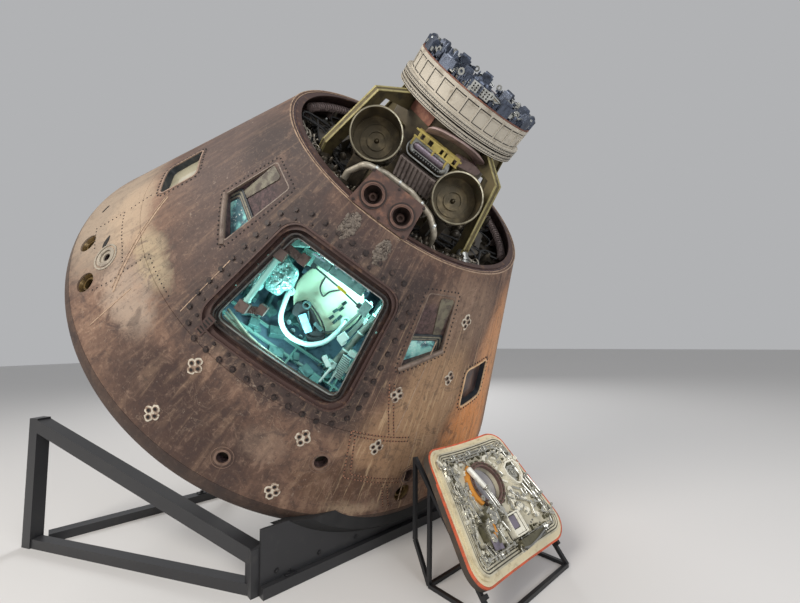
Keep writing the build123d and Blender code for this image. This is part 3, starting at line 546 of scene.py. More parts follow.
def ablator(name, darkening=0.0):
    """Charred resin: broad clouds of colour over a mottled ground, some of them painted shade and painted
    lamp light, faint streaks along the slope, edges where layers have peeled, pits, scratches and pale chips;
    calmer towards the left side. Painted shade on the walls of pockets and openings, and an even darkening
    of the whole coat where one is asked for."""
    net = Net(name, 0.72)
    high, angle, radius, (x, y) = net.capsule()
    at = net.spot()
    along = net.node("CombineXYZ", {0: x / radius * 13.0, 1: y / radius * 13.0, 2: high * 1.5})
    fine = net.node("CombineXYZ", {0: x / radius * 60.0, 1: y / radius * 60.0, 2: high * 4.0})
    broad = net.noise(at, 1.7, 5.0, 0.6)
    mottle = net.noise(at, 8.0, 8.0, 0.7, 0.8)
    grit = net.noise(at, 42.0, 6.0, 0.72, 0.3)
    streak = net.noise(along, 1.5, 6.0, 0.62, 1.0)
    hair = net.noise(fine, 1.4, 4.0, 0.6, 0.4)
    wobble = (broad - 0.5) * 12.0 + (mottle - 0.5) * 8.0
    busy = (angle + wobble).ease(-56.0, -36.0, 0.5, 1.0)
    on_side = high.ease(-0.02, 0.08)
    streak = (streak - 0.5) * on_side + 0.5
    hair = hair * on_side
    ground = broad * 0.4 + mottle * 0.38 + streak * 0.22
    base = net.ramp(ground, (0.36, (60, 43, 37)), (0.47, (88, 65, 53)), (0.56, (112, 85, 69)),
                    (0.68, (142, 113, 92)))
    # clouds of colour; among them painted shade high up and painted warm lamp light right of the hatch
    for middle, height, wide, tall, colour, share in CLOUDS:
        across = (angle - middle + wobble) / wide
        up = (high - height + (mottle - 0.5) * 0.22) / tall
        base = net.blend((across * across + up * up).ease(0.1, 1.5, share, 0.0), base, srgb(*colour))
    # reach is 1 on the hatch frame's outline and grows away from it; warm is the side right of the hatch,
    # where the grain's streaks carry painted warm lamp light
    px, up = abs(x) - (high - HATCH_MID) * -0.16, abs(high - HATCH_MID)
    reach = (px / 0.6).most(up / 0.47) + (mottle - 0.5) * 0.35
    front = y < 0.0
    warm = angle.ease(16.0, 30.0) * angle.ease(110.0, 80.0) * high.ease(1.4, 1.0)
    peel = abs(net.noise(at, 4.2, 5.0, 0.55, 0.5) - 0.5).ease(0.0, 0.01, 1.0, 0.0) * broad.ease(0.46, 0.62)
    chips = net.noise(at, 30.0, 4.0, 0.7).ease(0.64, 0.7) * broad.ease(0.44, 0.62)
    pits = net.cells(at, 64.0).ease(0.0, 0.18, 1.0, 0.0) * mottle.ease(0.46, 0.58)
    stains_and_lit_streaks = (
        (reach.ease(0.84, 1.16, 1.0, 0.0) * front * 0.72, (60, 45, 41)),
        (reach.ease(0.8, 0.98, 1.0, 0.0) * front * 0.55, (42, 33, 31)),
        (streak.ease(0.52, 0.68) * busy * 0.2, (166, 136, 110)),
        (streak.ease(0.48, 0.34) * busy * 0.32, (56, 41, 37)),
        (mottle.ease(0.54, 0.7) * busy * 0.26, (154, 126, 108)),
        (mottle.ease(0.47, 0.34) * busy * 0.5, (58, 42, 38)),
        (grit.ease(0.54, 0.66) * busy * 0.2, (168, 142, 120)),
        (grit.ease(0.46, 0.36) * busy * 0.4, (44, 32, 29)),
        (hair.ease(0.6, 0.72) * 0.1, (180, 152, 124)),
        # right of the hatch: real grain streaks, with painted warm lamp light in their paler tone
        (hair.ease(0.56, 0.68) * warm * 0.38, (206, 178, 140)),
        (hair.ease(0.46, 0.36) * warm * 0.26, (96, 66, 46)),
        (peel * 0.16, (186, 160, 136)), (chips * 0.35, (188, 172, 152)), (pits * busy * 0.7, (38, 27, 24)),
    )
    for mask, colour in stains_and_lit_streaks:
        base = net.blend(mask, base, srgb(*colour))
    # bare grey lumps where the layer has come away below the rim
    lumps = net.cells(at, 85.0)
    bare = 0.0
    for middle, height, half_w, half_h in ERODED:
        across, up = (angle - middle) * (radians(1) * cone_r(height) / half_w), (high - height) / (half_h * C)
        bare = (across * across + up * up + (mottle - 0.5) * 2.2).ease(0.8, 1.05, 1.0, 0.0).most(bare)
    bare = bare * front
    tones = net.ramp(lumps, (0.1, (132, 122, 108)), (0.4, (92, 82, 74)), (0.6, (38, 30, 28)))
    base = net.blend(bare, base, tones)
    # painted shade on the walls of pockets and openings, which lie under the cone's own surface
    sunk = ((APEX - high) * T - radius).ease(0.006, 0.022) * (high > 0.1)
    base = net.blend(sunk * 0.82, base, net.ramp(grit, (0.42, (44, 33, 36)), (0.6, (84, 64, 66))))
    # the whole coating darkened towards near black by the given share; 0.62 on the aft shield
    base = net.blend(darkening, base, srgb(40, 31, 28))
    net.put({"Base Color": base, "Roughness": 0.6 + mottle * 0.22 * busy - chips * 0.1})
    relief = (mottle * 1.1 + grit * 0.5 + streak * 0.35) * busy + hair * 0.15
    net.bump(relief - pits * 0.8 + chips * 0.3 + peel * 0.3 - bare * lumps * 3.0, 0.007)
    return net.material


# Finishes: main colour, worn colour, roughness, metal, scale, where the wear shows, dirt, grain
FINISHES = {
    "dark_studs": ((40, 30, 28), (80, 62, 54), 0.55, 0.2, 60),
    "dark_dots": ((28, 21, 20), (50, 38, 34), 0.7, 0.0, 60),
    "pale_seams": ((172, 146, 122), (120, 96, 80), 0.6, 0.0, 40),
    "burnt_frame": ((70, 50, 45), (112, 86, 70), 0.6, 0.15, 22, (0.52, 0.72)),
    "cream_patches": ((206, 196, 178), (136, 112, 94), 0.6, 0.0, 26, (0.46, 0.6)),
    # near black, used for the painted shade inside holes, slots and gaps
    "hole_black": ((14, 12, 11), (24, 20, 18), 0.8),
    "grey_metal": ((150, 150, 146), (104, 102, 98), 0.38, 0.75, 20),
    "pale_metal": ((186, 188, 184), (140, 140, 136), 0.32, 0.8, 26),
    "dark_metal": ((66, 60, 52), (98, 88, 72), 0.42, 0.55, 16),
    "mortar_metal": ((84, 76, 60), (128, 114, 88), 0.35, 0.7, 10),
    "gold_metal": ((128, 118, 80), (88, 78, 54), 0.45, 0.45, 18),
    "gusset_web": ((98, 88, 60), (62, 54, 42), 0.5, 0.4, 14),
    "tunnel_olive": ((90, 80, 60), (58, 50, 42), 0.55, 0.3, 12),
    "red_brown": ((116, 72, 58), (150, 106, 86), 0.7, 0.0, 20),
    "pipe_beige": ((166, 158, 142), (122, 114, 100), 0.42, 0.35, 22),
    "engine_brown": ((76, 53, 45), (120, 86, 70), 0.65, 0.05, 18, (0.46, 0.68), 0.45),
    "cream_ring": ((188, 180, 165), (142, 132, 116), 0.55, 0.0, 13, (0.5, 0.75), 0.3),
    # grey with painted blue overhead light, as falls on the docking ring's top
    "blue_lit_grey": ((88, 96, 112), (50, 54, 64), 0.42, 0.6, 34),
    "black_rubber": ((26, 26, 27), (44, 43, 42), 0.7),
    "orange_rim": ((204, 92, 58), (150, 84, 60), 0.6, 0.0, 24),
    "charcoal": ((46, 46, 48), (60, 59, 58), 0.42, 0.1, 12, (0.55, 0.8), 0.2),
    "black_frame": ((30, 30, 32), (46, 45, 44), 0.4, 0.2, 22, (0.6, 0.8), 0.2),
    "slate_blue": ((112, 146, 164), (82, 110, 126), 0.55, 0.1, 14),
    "panel_rust": ((148, 104, 80), (104, 72, 56), 0.6, 0.0, 40),
    # the side windows' lips: one tone, painted shaded on the left window and lit, pale, on the right
    "lip_left": ((150, 126, 110), (116, 96, 84), 0.5, 0.0, 30),
    "lip_right": ((226, 190, 146), (196, 150, 104), 0.45, 0.0, 30),
    "reveal_dark": ((44, 50, 56), (72, 72, 72), 0.5, 0.1, 24),
    "frame_olive": ((122, 118, 102), (90, 82, 72), 0.5, 0.1, 30),
    "pocket_pale": ((112, 106, 88), (76, 66, 60), 0.55, 0.0, 18, (0.42, 0.62)),
    "pocket_lip": ((112, 96, 84), (84, 68, 60), 0.55, 0.0, 26),
    "port_brass": ((122, 100, 62), (62, 48, 36), 0.35, 0.6, 20),
    "mouth_brown": ((116, 92, 78), (78, 60, 52), 0.6, 0.0, 30),
    "vent_grey": ((158, 148, 132), (112, 100, 90), 0.55, 0.0, 26),
    "eroded_grey": ((112, 102, 92), (58, 48, 44), 0.8, 0.0, 60),
    "patch_rim": ((128, 104, 88), (78, 60, 52), 0.55, 0.1, 40),
    "frame_black": ((42, 36, 34), (86, 72, 62), 0.6, 0.1, 26, (0.5, 0.7)),
    "dish_paint": ((150, 128, 122), (104, 86, 82), 0.55, 0.1, 14, (0.45, 0.7)),
    "yellow_bracket": ((190, 172, 98), (140, 124, 74), 0.5, 0.2, 22),
    "purple_grey": ((128, 116, 126), (92, 82, 90), 0.38, 0.4, 18),
    "boot_grey": ((138, 124, 116), (92, 80, 74), 0.7, 0.0, 24),
    "lip_olive": ((150, 144, 124), (104, 98, 82), 0.35, 0.6, 26),
    "gusset_edge": ((164, 154, 106), (124, 112, 74), 0.42, 0.4, 22),
    "throat": ((52, 40, 36), (30, 24, 22), 0.5, 0.3, 30),
    "nozzle_ring": ((112, 84, 72), (76, 56, 50), 0.5, 0.2, 30),
    "hose_grey": ((128, 112, 108), (84, 72, 70), 0.6, 0.0, 24),
    "cable_pale": ((168, 160, 146), (110, 100, 90), 0.6, 0.0, 40),
    "mint_paint": ((138, 196, 186), (168, 214, 200), 0.5, 0.0, 7, (0.45, 0.75), 0.25),
    "sage_paint": ((172, 196, 170), (190, 202, 172), 0.55, 0.0, 6, (0.45, 0.75), 0.25),
    "mint_bright": ((188, 230, 224), (140, 196, 192), 0.35, 0.1, 16, (0.5, 0.75), 0.2),
    "teal_metal": ((124, 178, 174), (84, 128, 128), 0.45, 0.3, 18),
    "teal_dark": ((48, 78, 80), (84, 122, 120), 0.5, 0.2, 22),
    "webbing": ((22, 28, 30), (44, 54, 56), 0.75, 0.0, 40),
    "sky_plate": ((132, 190, 214), (100, 150, 172), 0.4, 0.1, 18),
    "cabin_yellow": ((206, 200, 40), (170, 160, 50), 0.5, 0.0, 20),
    "hinge_brown": ((98, 84, 78), (66, 56, 52), 0.55, 0.25, 24),
    "pale_blue": ((172, 214, 224), (130, 172, 184), 0.4, 0.2, 18),
    "member_grey": ((120, 146, 138), (84, 106, 102), 0.45, 0.3, 16),
    "pipe_mint": ((160, 186, 166), (96, 104, 88), 0.45, 0.3, 30),
    "crumpled_foil": ((150, 214, 208), (206, 240, 234), 0.28, 0.45, 34, (0.5, 0.66), 0.35),
    # charred coat, darkened further by painted shade to the charcoal of a side wall in shade
    "cover_char_and_shade": ((66, 58, 50), (96, 76, 60), 0.7, 0.0, 12, (0.5, 0.72), 0.4, 0.002),
    "rim_cream": ((210, 198, 166), (172, 156, 124), 0.5, 0.0, 18, (0.5, 0.75), 0.25),
    "face_cream": ((200, 193, 170), (162, 152, 126), 0.5, 0.1, 20, (0.5, 0.72), 0.4),
    "case_white": ((216, 212, 196), (180, 172, 150), 0.45, 0.0, 24, (0.5, 0.75), 0.2),
    "groove_dark": ((78, 74, 62), (52, 49, 42), 0.7, 0.0, 30),
    "bright_steel": ((206, 204, 194), (150, 146, 134), 0.26, 0.85, 30, (0.5, 0.72), 0.25),
    "gear_olive": ((112, 108, 88), (74, 70, 58), 0.4, 0.6, 26),
    "window_brown": ((104, 80, 72), (76, 60, 56), 0.5, 0.1, 30),
    "purple_grey_plate": ((120, 112, 124), (92, 86, 96), 0.4, 0.2, 14),
    "amber_gasket": ((208, 140, 52), (168, 104, 40), 0.55, 0.0, 20),
    "chalk_white": ((222, 220, 210), (180, 180, 172), 0.4, 0.1, 30),
}


def pane_look(name, *stops, scale=11.0, speckle=0.0, rough=0.08):
    """Coated pane: patches of the given tones, and pale flecks where its coating has crazed."""
    net = Net(name, rough, 0.0, Coat_Weight=1.0)
    tone = net.ramp(net.noise(net.spot(), scale, 4.0, 0.55, 0.3), *stops)
    flecks = net.noise(net.spot(), 70.0, 5.0, 0.7).ease(0.56, 0.64)
    flecks = flecks * net.noise(net.spot(), 15.0, 3.0).ease(0.46, 0.58)
    base = net.blend(flecks * speckle, tone, srgb(226, 238, 234))
    net.put({"Base Color": base})
    return net, base


def smoked_look():
    """The right side window's pane: brown tones, little gloss, and a faint painted amber highlight."""
    net, base = pane_look("window_smoked", (0.4, (46, 34, 34)), (0.6, (92, 68, 56)), scale=9.0, rough=0.45)
    high, angle, *_ = net.capsule()
    # painted amber highlight near the pane's upper left
    across, up = (angle - 56.4) / 2.6, (high - 0.905) / 0.05
    glint = (across * across + up * up).ease(0.3, 1.3, 1.0, 0.0)
    net.put({"Coat Weight": 0.2, "Base Color": net.blend(glint, base, srgb(216, 156, 70))})
    return net.material


def cover_pane_look():
    """Pane of the hatch cover's window: two close greys."""
    net = Net("cover_glass", 0.08, 0.0, Coat_Weight=1.0)
    cloud = net.noise(net.spot(), 4.0, 3.0)
    net.put({"Base Color": net.ramp(cloud, (0.35, (132, 128, 132)), (0.65, (168, 166, 168)))})
    return net.material


def lamp_look():
    """Lit face of the lamp in the cabin."""
    net = Net("cabin_lamp", 0.4, Emission_Strength=2.0)
    net.put({"Base Color": srgb(226, 246, 238), "Emission Color": srgb(214, 246, 236)})
    return net.material


GLASS_TONES = ((0.4, (74, 104, 112)), (0.46, (98, 146, 150)), (0.51, (130, 196, 190)), (0.6, (166, 222, 212)))
SHADE_TONES = ((0.35, (156, 150, 128)), (0.65, (186, 180, 156)))
looks = {name: finish(name, *row) for name, row in FINISHES.items()}
looks.update(
    coating=ablator("coating"), shield_coating=ablator("shield_coating", 0.62), window_smoked=smoked_look(),
    window_glass=pane_look("window_glass", *GLASS_TONES, speckle=0.8)[0].material,
    window_shade=pane_look("window_shade", *SHADE_TONES, scale=5.0)[0].material,
    cover_glass=cover_pane_look(), cabin_lamp=lamp_look(),
)

# CAD nodes by look; a node that isn't named here takes its kind's look, or else charcoal
NODES_BY_LOOK = {
    "coating": "crew_shell skirt", "shield_coating": "aft_shield",
    "burnt_frame": "hatch_frame rim_ring hatch_hinge",
    "dark_metal": "port_liners forward_deck mortar_stand_left mortar_stand_right bay_equipment",
    "tunnel_olive": "tunnel", "cream_ring": "docking_flange docking_drum", "blue_lit_grey": "docking_latches",
    "mortar_metal": "mortar_left mortar_right", "engine_brown": "pitch_engines", "pipe_beige": "bay_pipe",
    "pale_metal": "float_casing cover_spring_rod", "grey_metal": "bay_pack cover_guard cover_latches",
    "slate_blue": "cabin_floor couch_centre", "teal_metal": "couch_left couch_right main_panel",
    "cover_char_and_shade": "cover_shell", "face_cream": "cover_inner", "rim_cream": "cover_gasket",
    "cover_glass": "cover_pane",
    "gear_olive": "cover_gearbox cover_crank", "case_white": "cover_case", "window_brown": "cover_bezel",
    "black_frame": "easel", "black_rubber": "front_saddle", "window_shade": "pane_side_left",
    "window_smoked": "pane_side_right",
}
KIND_LOOKS = {"pane": "window_glass", "gusset": "gusset_web"}
node_looks = {node: look for look, nodes in NODES_BY_LOOK.items() for node in nodes.split()}
for node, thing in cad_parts.items():
    look = node_looks.get(node, KIND_LOOKS.get(node.split("_")[0], "charcoal"))
    for entry in thing.material_slots:
        entry.material = looks[look]


# Cone: studs, seams, patches and rims

def cone_places(points):
    """Places on the cone for rows of (angle, height)."""
    return [slope(a, h) for a, h in points]


def cone_row(start, end, step):
    """Evenly spaced (angle, height) along a straight run on the cone."""
    (a0, h0), (a1, h1) = start, end
    across = radians(a1 - a0) * cone_r((h0 + h1) / 2)
    count = max(2, int(round(np.hypot(across, (h1 - h0) / C) / step)) + 1)
    t = np.linspace(0, 1, count)
    return np.stack([a0 + (a1 - a0) * t, h0 + (h1 - h0) * t], -1)


def cone_strip(line, width, low, high, step=0.05):
    """Flat strip on the cone along straight runs of (angle, height): a rectangle carried along,
    set square to the surface and to its own run."""
    rows = np.vstack([cone_row(a, b, step)[:-1] for a, b in zip(line[:-1], line[1:])]
                     + [np.array(line[-1:], float)])
    t, r = np.radians(rows[:, 0]), cone_r(rows[:, 1])
    mid = np.stack([r * np.sin(t), -r * np.cos(t), rows[:, 1]], -1)
    out = np.stack([C * np.sin(t), -C * np.cos(t), np.full(len(t), S)], -1)
    ahead = np.gradient(mid, axis=0)
    side = np.cross(out, ahead)
    side /= np.linalg.norm(side, axis=1)[:, None]
    section = np.array([(-1, low), (1, low), (1, high), (-1, high)]) * (width / 2, 1)
    return skin(mid[None] + section[:, None, :1] * side[None] + section[:, None, 1:] * out[None])


small_stud = dome(0.0055, 0.0035, 6)
# Runs of studs, each from one (angle, height) to another
STUD_ROWS = (
    ((-37.7, 0.346), (-37.8, 0.429)), ((-37.8, 0.429), (-37.6, 0.593)), ((-37.6, 0.593), (-32.6, 0.595)),
    ((-32.6, 0.595), (-25.9, 0.595)), ((-49.0, 0.255), (-55.5, 0.237)), ((-55.5, 0.237), (-55.5, 0.44)),
    ((-55.5, 0.44), (-44.4, 0.447)), ((-44.4, 0.447), (-40.4, 0.436)), ((-55.8, 0.489), (-56.4, 0.626)),
    ((-38.6, 0.229), (-37.7, 0.346)), ((95, 0.3), (120, 0.3)), ((95, 0.3), (97, 0.95)),
    ((120, 0.3), (118, 0.95)), ((150, 0.45), (176, 0.45)), ((150, 0.45), (152, 1.2)),
    ((-100, 0.35), (-128, 0.35)), ((-100, 0.35), (-102, 1.05)), ((-128, 0.35), (-126, 1.05)),
    ((-150, 0.3), (-152, 1.2)),
)
rows = np.vstack([cone_row(a, b, 0.034) for a, b in STUD_ROWS])
capsule_piece("cone_studs", copies(small_stud, cone_places(rows)), "dark_dots", "dark_metal")
# Access panel below the hatch's right corner: twin rows of dots along its edges and up to the hatch
PANEL_ROWS = (
    ((22.6, 0.576), (37.8, 0.567)), ((22.8, 0.552), (37.9, 0.543)), ((22.6, 0.576), (25.3, 0.313)),
    ((23.9, 0.552), (26.5, 0.336)), ((25.3, 0.313), (39.9, 0.27)), ((26.5, 0.336), (39.9, 0.294)),
    ((26.6, 0.87), (31.9, 0.585)), ((28.0, 0.87), (33.3, 0.585)), ((35.2, 0.262), (37.3, 0.12)),
    ((36.5, 0.262), (38.7, 0.12)),
)
rows = np.vstack([cone_row(a, b, 0.024) for a, b in PANEL_ROWS])
capsule_piece("panel_studs", copies(small_stud, cone_places(rows)), "dark_dots", "dark_metal")
edges = joined(cone_strip(line, 0.007, -0.002, 0.0015) for line in PANEL_ROWS)
capsule_piece("panel_edges", edges, "panel_rust", "ablator")

# Side windows: lip at the surface, its one tone painted shaded on the left window and lit on the right, dark
# reveal down to the pane, a row of screws round them
SIDE_AT, SIDE_SIZE = (60.5, 0.822), (0.322, 0.308, 0.045)


def side_outline(grow):
    """Side window's outline, grown by an even margin."""
    width, length, corner = SIDE_SIZE
    return oblong(width + 2 * grow, length + 2 * grow, corner + grow, 8)


reveals, screws = [], []
for side, word in ((-1, "left"), (1, "right")):
    spot = (side * SIDE_AT[0], SIDE_AT[1])
    lip = laid(band(side_outline(0.009), side_outline(-0.004), -0.004, 0.004), *spot)
    capsule_piece("window_lip_" + word, lip, "lip_" + word, "ablator")
    reveals.append(laid(band(side_outline(0.001), side_outline(-0.006), -0.052, -0.003), *spot))
    reveals.append(laid(band(side_outline(-0.004), side_outline(-0.03), -0.06, -0.05), *spot))
    for x, y in evenly(side_outline(0.026), 38)[0]:
        screws.append(laid(dome(0.0078, 0.005, 8).moved(x, y), *spot))
capsule_piece("window_reveals", joined(reveals), "reveal_dark", "black_frame")

# Forward windows: the floor of the sloping pocket, nested frames round the pane, a pale plate at the
# far end, a thick lip along the aft edge, and screws all round
POCKET_AT, POCKET_DEPTH = (33.0, 1.19), 0.084
POCKET = np.array([(-0.132, -0.28), (0.145, -0.119), (0.095, 0.25), (-0.115, 0.226)])
PANE = np.array([(-0.096, -0.252), (0.122, -0.136), (0.096, -0.066), (-0.092, -0.096)])
pocket_low, pocket_high = POCKET[:, 1].min(), POCKET[:, 1].max()
pocket_lean = np.degrees(np.arctan2(POCKET_DEPTH, pocket_high - pocket_low))
frames_olive, frames_dark, ends, lips = [], [], [], []
for side in (-1, 1):
    spot = (side * POCKET_AT[0], POCKET_AT[1])
    floor = slope(*spot) @ Place((0, pocket_low, -POCKET_DEPTH), turn("X", pocket_lean))
    floor = floor @ Place((0, -pocket_low, 0))
    nested = ((0.001, 0.004, frames_dark), (0.009, 0.007, frames_olive), (0.018, 0.009, frames_dark),
              (0.026, 0.013, frames_olive), (0.038, 0.012, frames_dark))
    for grow, high, kind in nested:
        outer, inner = (rounded(PANE * (side, 1), 0.02, 6, g) for g in (grow + 0.01, grow))
        kind.append(band(outer, inner, 0.0, high).at(floor))
    corners = np.array([(0.062, -0.06), (0.108, -0.05), (0.086, 0.23), (-0.02, 0.222)]) * (side, 1)
    ends.append(prism(rounded(corners, 0.02, 6), -0.002, 0.006).at(floor))
    rim = rounded(POCKET * (side, 1), 0.016, 6, -0.006)
    lips.append(laid(band(rounded(POCKET * (side, 1), 0.02, 6, 0.001), rim, -0.014, 0.0012), *spot))
    start, end = POCKET[:2] * (side, 1)
    edge = np.column_stack([start + (end - start) * np.linspace(-0.02, 1.02, 12)[:, None],
                            np.full(12, -0.004)])
    lips.append(laid(pipe(edge, 0.017, 14, per=0), *spot))
    for x, y in evenly(rounded(POCKET * (side, 1), 0.03, 6, 0.026), 54)[0]:
        screws.append(laid(dome(0.0062, 0.004, 8).moved(x, y), *spot))
capsule_piece("pocket_frames", joined(frames_olive), "frame_olive", "bare_metal")
capsule_piece("pocket_steps", joined(frames_dark), "reveal_dark", "black_frame")
capsule_piece("pocket_ends", joined(ends), "pocket_pale", "bare_metal")
capsule_piece("pocket_lips", joined(lips), "pocket_lip", "ablator", smooth=60)
capsule_piece("window_screws", joined(screws), "dark_dots", "dark_metal")

# Thruster ports with a brass throat deep in each; rings round the mouths and the vent; the almond
# slot, the slit and the louvre on the left
PORTS = ((-52.0, 0.196), (-41.5, 0.19), (41.5, 0.19), (52.0, 0.196), (134.0, 0.19), (146.0, 0.19),
         (-134.0, 0.19), (-146.0, 0.19))
throat = lathe([(0.0655, -0.06), (0.0655, -0.01), (0.06, -0.01), (0.046, -0.046), (0.046, -0.06)], 36)
throats = joined(laid(ring(0.046, 0.034, -0.046, -0.026, 28), *spot) + laid(throat, *spot) for spot in PORTS)
capsule_piece("port_throats", throats, "port_brass", "gold_metal")
VENT_AT, LOUVRE_AT = (-44.5, 0.335), (-15.6, 0.65)
VENT_RINGS = ((0.092, 0.08, -0.003, 0.004, 56), (0.07, 0.0475, -0.004, 0.003, 56),
              (0.0475, 0.027, -0.014, -0.006, 40))
vent_rings = joined(laid(ring(*sizes), *VENT_AT) for sizes in VENT_RINGS)
mouths = []
for r, a, h in ((0.048, 41.7, 0.309), (0.036, 2.8, 0.208), (0.044, 19.4, 0.374)):
    rims = ring(r + 0.012, r - 0.001, -0.003, 0.003, 40) + ring(r + 0.03, r + 0.026, -0.003, 0.002, 40)
    mouths.append(laid(rims, a, h))
capsule_piece("vent_mouths", joined(mouths), "mouth_brown", "ablator")
capsule_piece("vent_rings", vent_rings, "vent_grey", "ablator")
# the almond's sides are parabolas, x = half width (1 - t2)
t = np.linspace(-1, 1, 12)
half = np.column_stack([0.019 * (1 - t ** 2), 0.056 * t])
almond = np.vstack([half, (half * (-1, 1))[-2:0:-1]])
# the slots and the louvre's gaps are black shapes on the skin: painted shade of the openings
slots = laid(prism(almond, -0.003, 0.0012), -48.7, 0.336, 58)
slots += laid(prism(oblong(0.02, 0.072, 0.009), -0.003, 0.0012), -62.8, 0.231, 60)
slots += joined(laid(block(0.034, 0.008, 0.0062).moved(y=y), *LOUVRE_AT)
                for y in (-0.044, -0.022, 0.0, 0.022, 0.044))
capsule_piece("skin_slots", slots, "hole_black", "dark_metal")
capsule_piece("louvre_plate", laid(prism(oblong(0.056, 0.13, 0.008), -0.004, 0.0045), *LOUVRE_AT),
              "burnt_frame", "ablator")
pebbles = []
for middle, height, half_w, half_h in ERODED:
    for _ in range(90):
        reach, way, size = np.sqrt(rng.uniform(0, 1)), rng.uniform(0, 2 * np.pi), rng.uniform(0.005, 0.015)
        x, y = reach * np.cos(way) * half_w, reach * np.sin(way) * half_h
        lump = dome(size, size * rng.uniform(0.35, 0.7), 7).moved(x, y, -0.001, rng.uniform(0, 90))
        lump.points[:, :2] += 0.15 * size * rng.normal(size=(len(lump.points), 2))
        pebbles.append(laid(lump, middle, height))
capsule_piece("eroded_lumps", joined(pebbles), "eroded_grey", "ablator", smooth=20)

# Pale seams: the run, its width and its height over the surface
SEAMS = (
    (((-51.3, 0.756), (-35, 0.342)), 0.012, 0.003), (((-52.3, 0.756), (-36, 0.342)), 0.005, 0.003),
    (((-33, 0.44), (-32, 0.16)), 0.006, 0.002), (((33.5, 0.6), (36, 1.14)), 0.006, 0.002),
    (((40, 0.6), (41, 0.14)), 0.005, 0.002), (((-22.5, 0.94), (-21.5, 0.6)), 0.005, 0.002),
    (((80, 0.1), (80, 1.5)), 0.005, 0.002), (((140, 0.1), (140, 1.5)), 0.005, 0.002),
    (((-90, 0.1), (-90, 1.5)), 0.005, 0.002), (((-140, 0.1), (-140, 1.5)), 0.005, 0.002),
    (((180, 0.1), (180, 1.5)), 0.005, 0.002),
)
capsule_piece("cone_seams", joined(cone_strip(line, w, -0.002, h) for line, w, h in SEAMS), "pale_seams",
              "ablator")

# Four-lobed pale patches, each with four lipped holes
PATCHES = ((-11.4, 0.481), (-11.4, 0.178), (13.7, 0.466), (29.9, 0.507), (13.5, 0.156), (29.9, 0.815),
           (45.9, 0.925), (46.2, 1.265),
           (100, 0.5), (150, 0.8), (-100, 0.6), (-150, 0.5))
# the patches' holes are black discs: painted shade inside them
plates, holes, lips = [], [], []
for angle, height in PATCHES:
    for x, y in ((-0.024, 0), (0.024, 0), (0, 0.03), (0, -0.03)):
        ragged = circle(0.0255, 14) * rng.uniform(0.86, 1.08, (14, 1)) + (x, y)
        plates.append(laid(prism(ragged, -0.004, 0.003 + abs(x) * 0.01), angle, height))
        lips.append(laid(ring(0.0145, 0.01, 0.001, 0.006, 14).moved(x, y), angle, height))
        holes.append(laid(drum(0.011, -0.002, 0.0048, 12).moved(x, y), angle, height))
    plates.append(laid(prism(circle(0.024, 10), -0.004, 0.0028), angle, height))
capsule_piece("patch_plates", joined(plates), "cream_patches", "ablator")
capsule_piece("patch_lips", joined(lips), "patch_rim", "ablator")
capsule_piece("patch_holes", joined(holes), "hole_black", "dark_metal")

# Hatch surround: raised edge, double row of bolts, stepped sills
lip = band(hatch_line(0.06), hatch_line(0.05), -0.006, 0.007)
capsule_piece("hatch_lip", laid(lip, 0, HATCH_MID), "burnt_frame", "hatch_seal")
bolts = []
for grow, count, start, size in ((0.135, 40, 0.3, 0.013), (0.082, 34, 0.0, 0.008)):
    for (x, y), a in zip(*evenly(hatch_line(grow), count, start=start)):
        bolts.append(laid(bolt(size, size * 0.7).moved(x, y, spin=a), 0, HATCH_MID))
capsule_piece("hatch_bolts", joined(bolts), "dark_studs", "dark_metal")
steps = joined(laid(band(hatch_line(a), hatch_line(b), -depth - 0.006, -depth), 0, HATCH_MID)
               for a, b, depth in ((0.006, -0.004, 0.022), (0.004, -0.012, 0.04), (0.002, -0.02, 0.056)))
capsule_piece("hatch_steps", steps, "frame_black", "seal")
bright = laid(band(hatch_line(-0.018), hatch_line(-0.026), -0.07, -0.06), 0, HATCH_MID)
capsule_piece("hatch_bright_sill", bright, "pale_metal", "bare_metal")

# Forward bay and docking ring: every shape is drawn at the hatch side and turned about the axis

def about(shape, angle, radius, height):
    """Sets a shape at a radius and height; its x runs round the axis, its y towards it."""
    return shape.moved(y=-radius, z=height).moved(spin=angle)


def bent(shape, radius):
    """Wraps a flat shape round the axis: x becomes arc length, y height, z distance out from radius."""
    x, y, z = shape.points.T
    t, r = x / radius, radius + z
    return Shape(np.stack([r * np.sin(t), -r * np.cos(t), y], -1), *shape.faces)


def cables(count, angles, radii, heights, thick):
    """Harness runs: each follows seeded random waypoints between two angles."""
    runs = []
    for _ in range(count):
        a, b = rng.uniform(*angles), rng.uniform(*angles)
        t = np.linspace(min(a, b), max(a, b), 6)
        r, h = rng.uniform(*radii, 6), rng.uniform(*heights, 6)
        points = np.stack([r * np.sin(np.radians(t)), -r * np.cos(np.radians(t)), h], -1)
        runs.append(pipe(points, rng.uniform(*thick), 6, 6))
    return joined(runs)


def box_gear(w, d, h):
    """Closed box with a lid rim and four screws."""
    lid = block(w * 1.06, d * 1.06, h * 0.12, (0, 0, h * 0.88))
    screws = [drum(w * 0.05, h, h * 1.04, 6).moved(x * w * 0.4, y * d * 0.4)
              for x in (-1, 1) for y in (-1, 1)]
    return joined([block(w, d, h), lid, *screws])


def can_gear(r, h):
    """Canister with a collar and a domed end."""
    can = drum(r, 0, h * 0.7, 16) + ring(r * 1.15, r * 0.5, h * 0.3, h * 0.38, 16)
    return can + dome(r * 0.95, h * 0.3, 16).moved(z=h * 0.7)


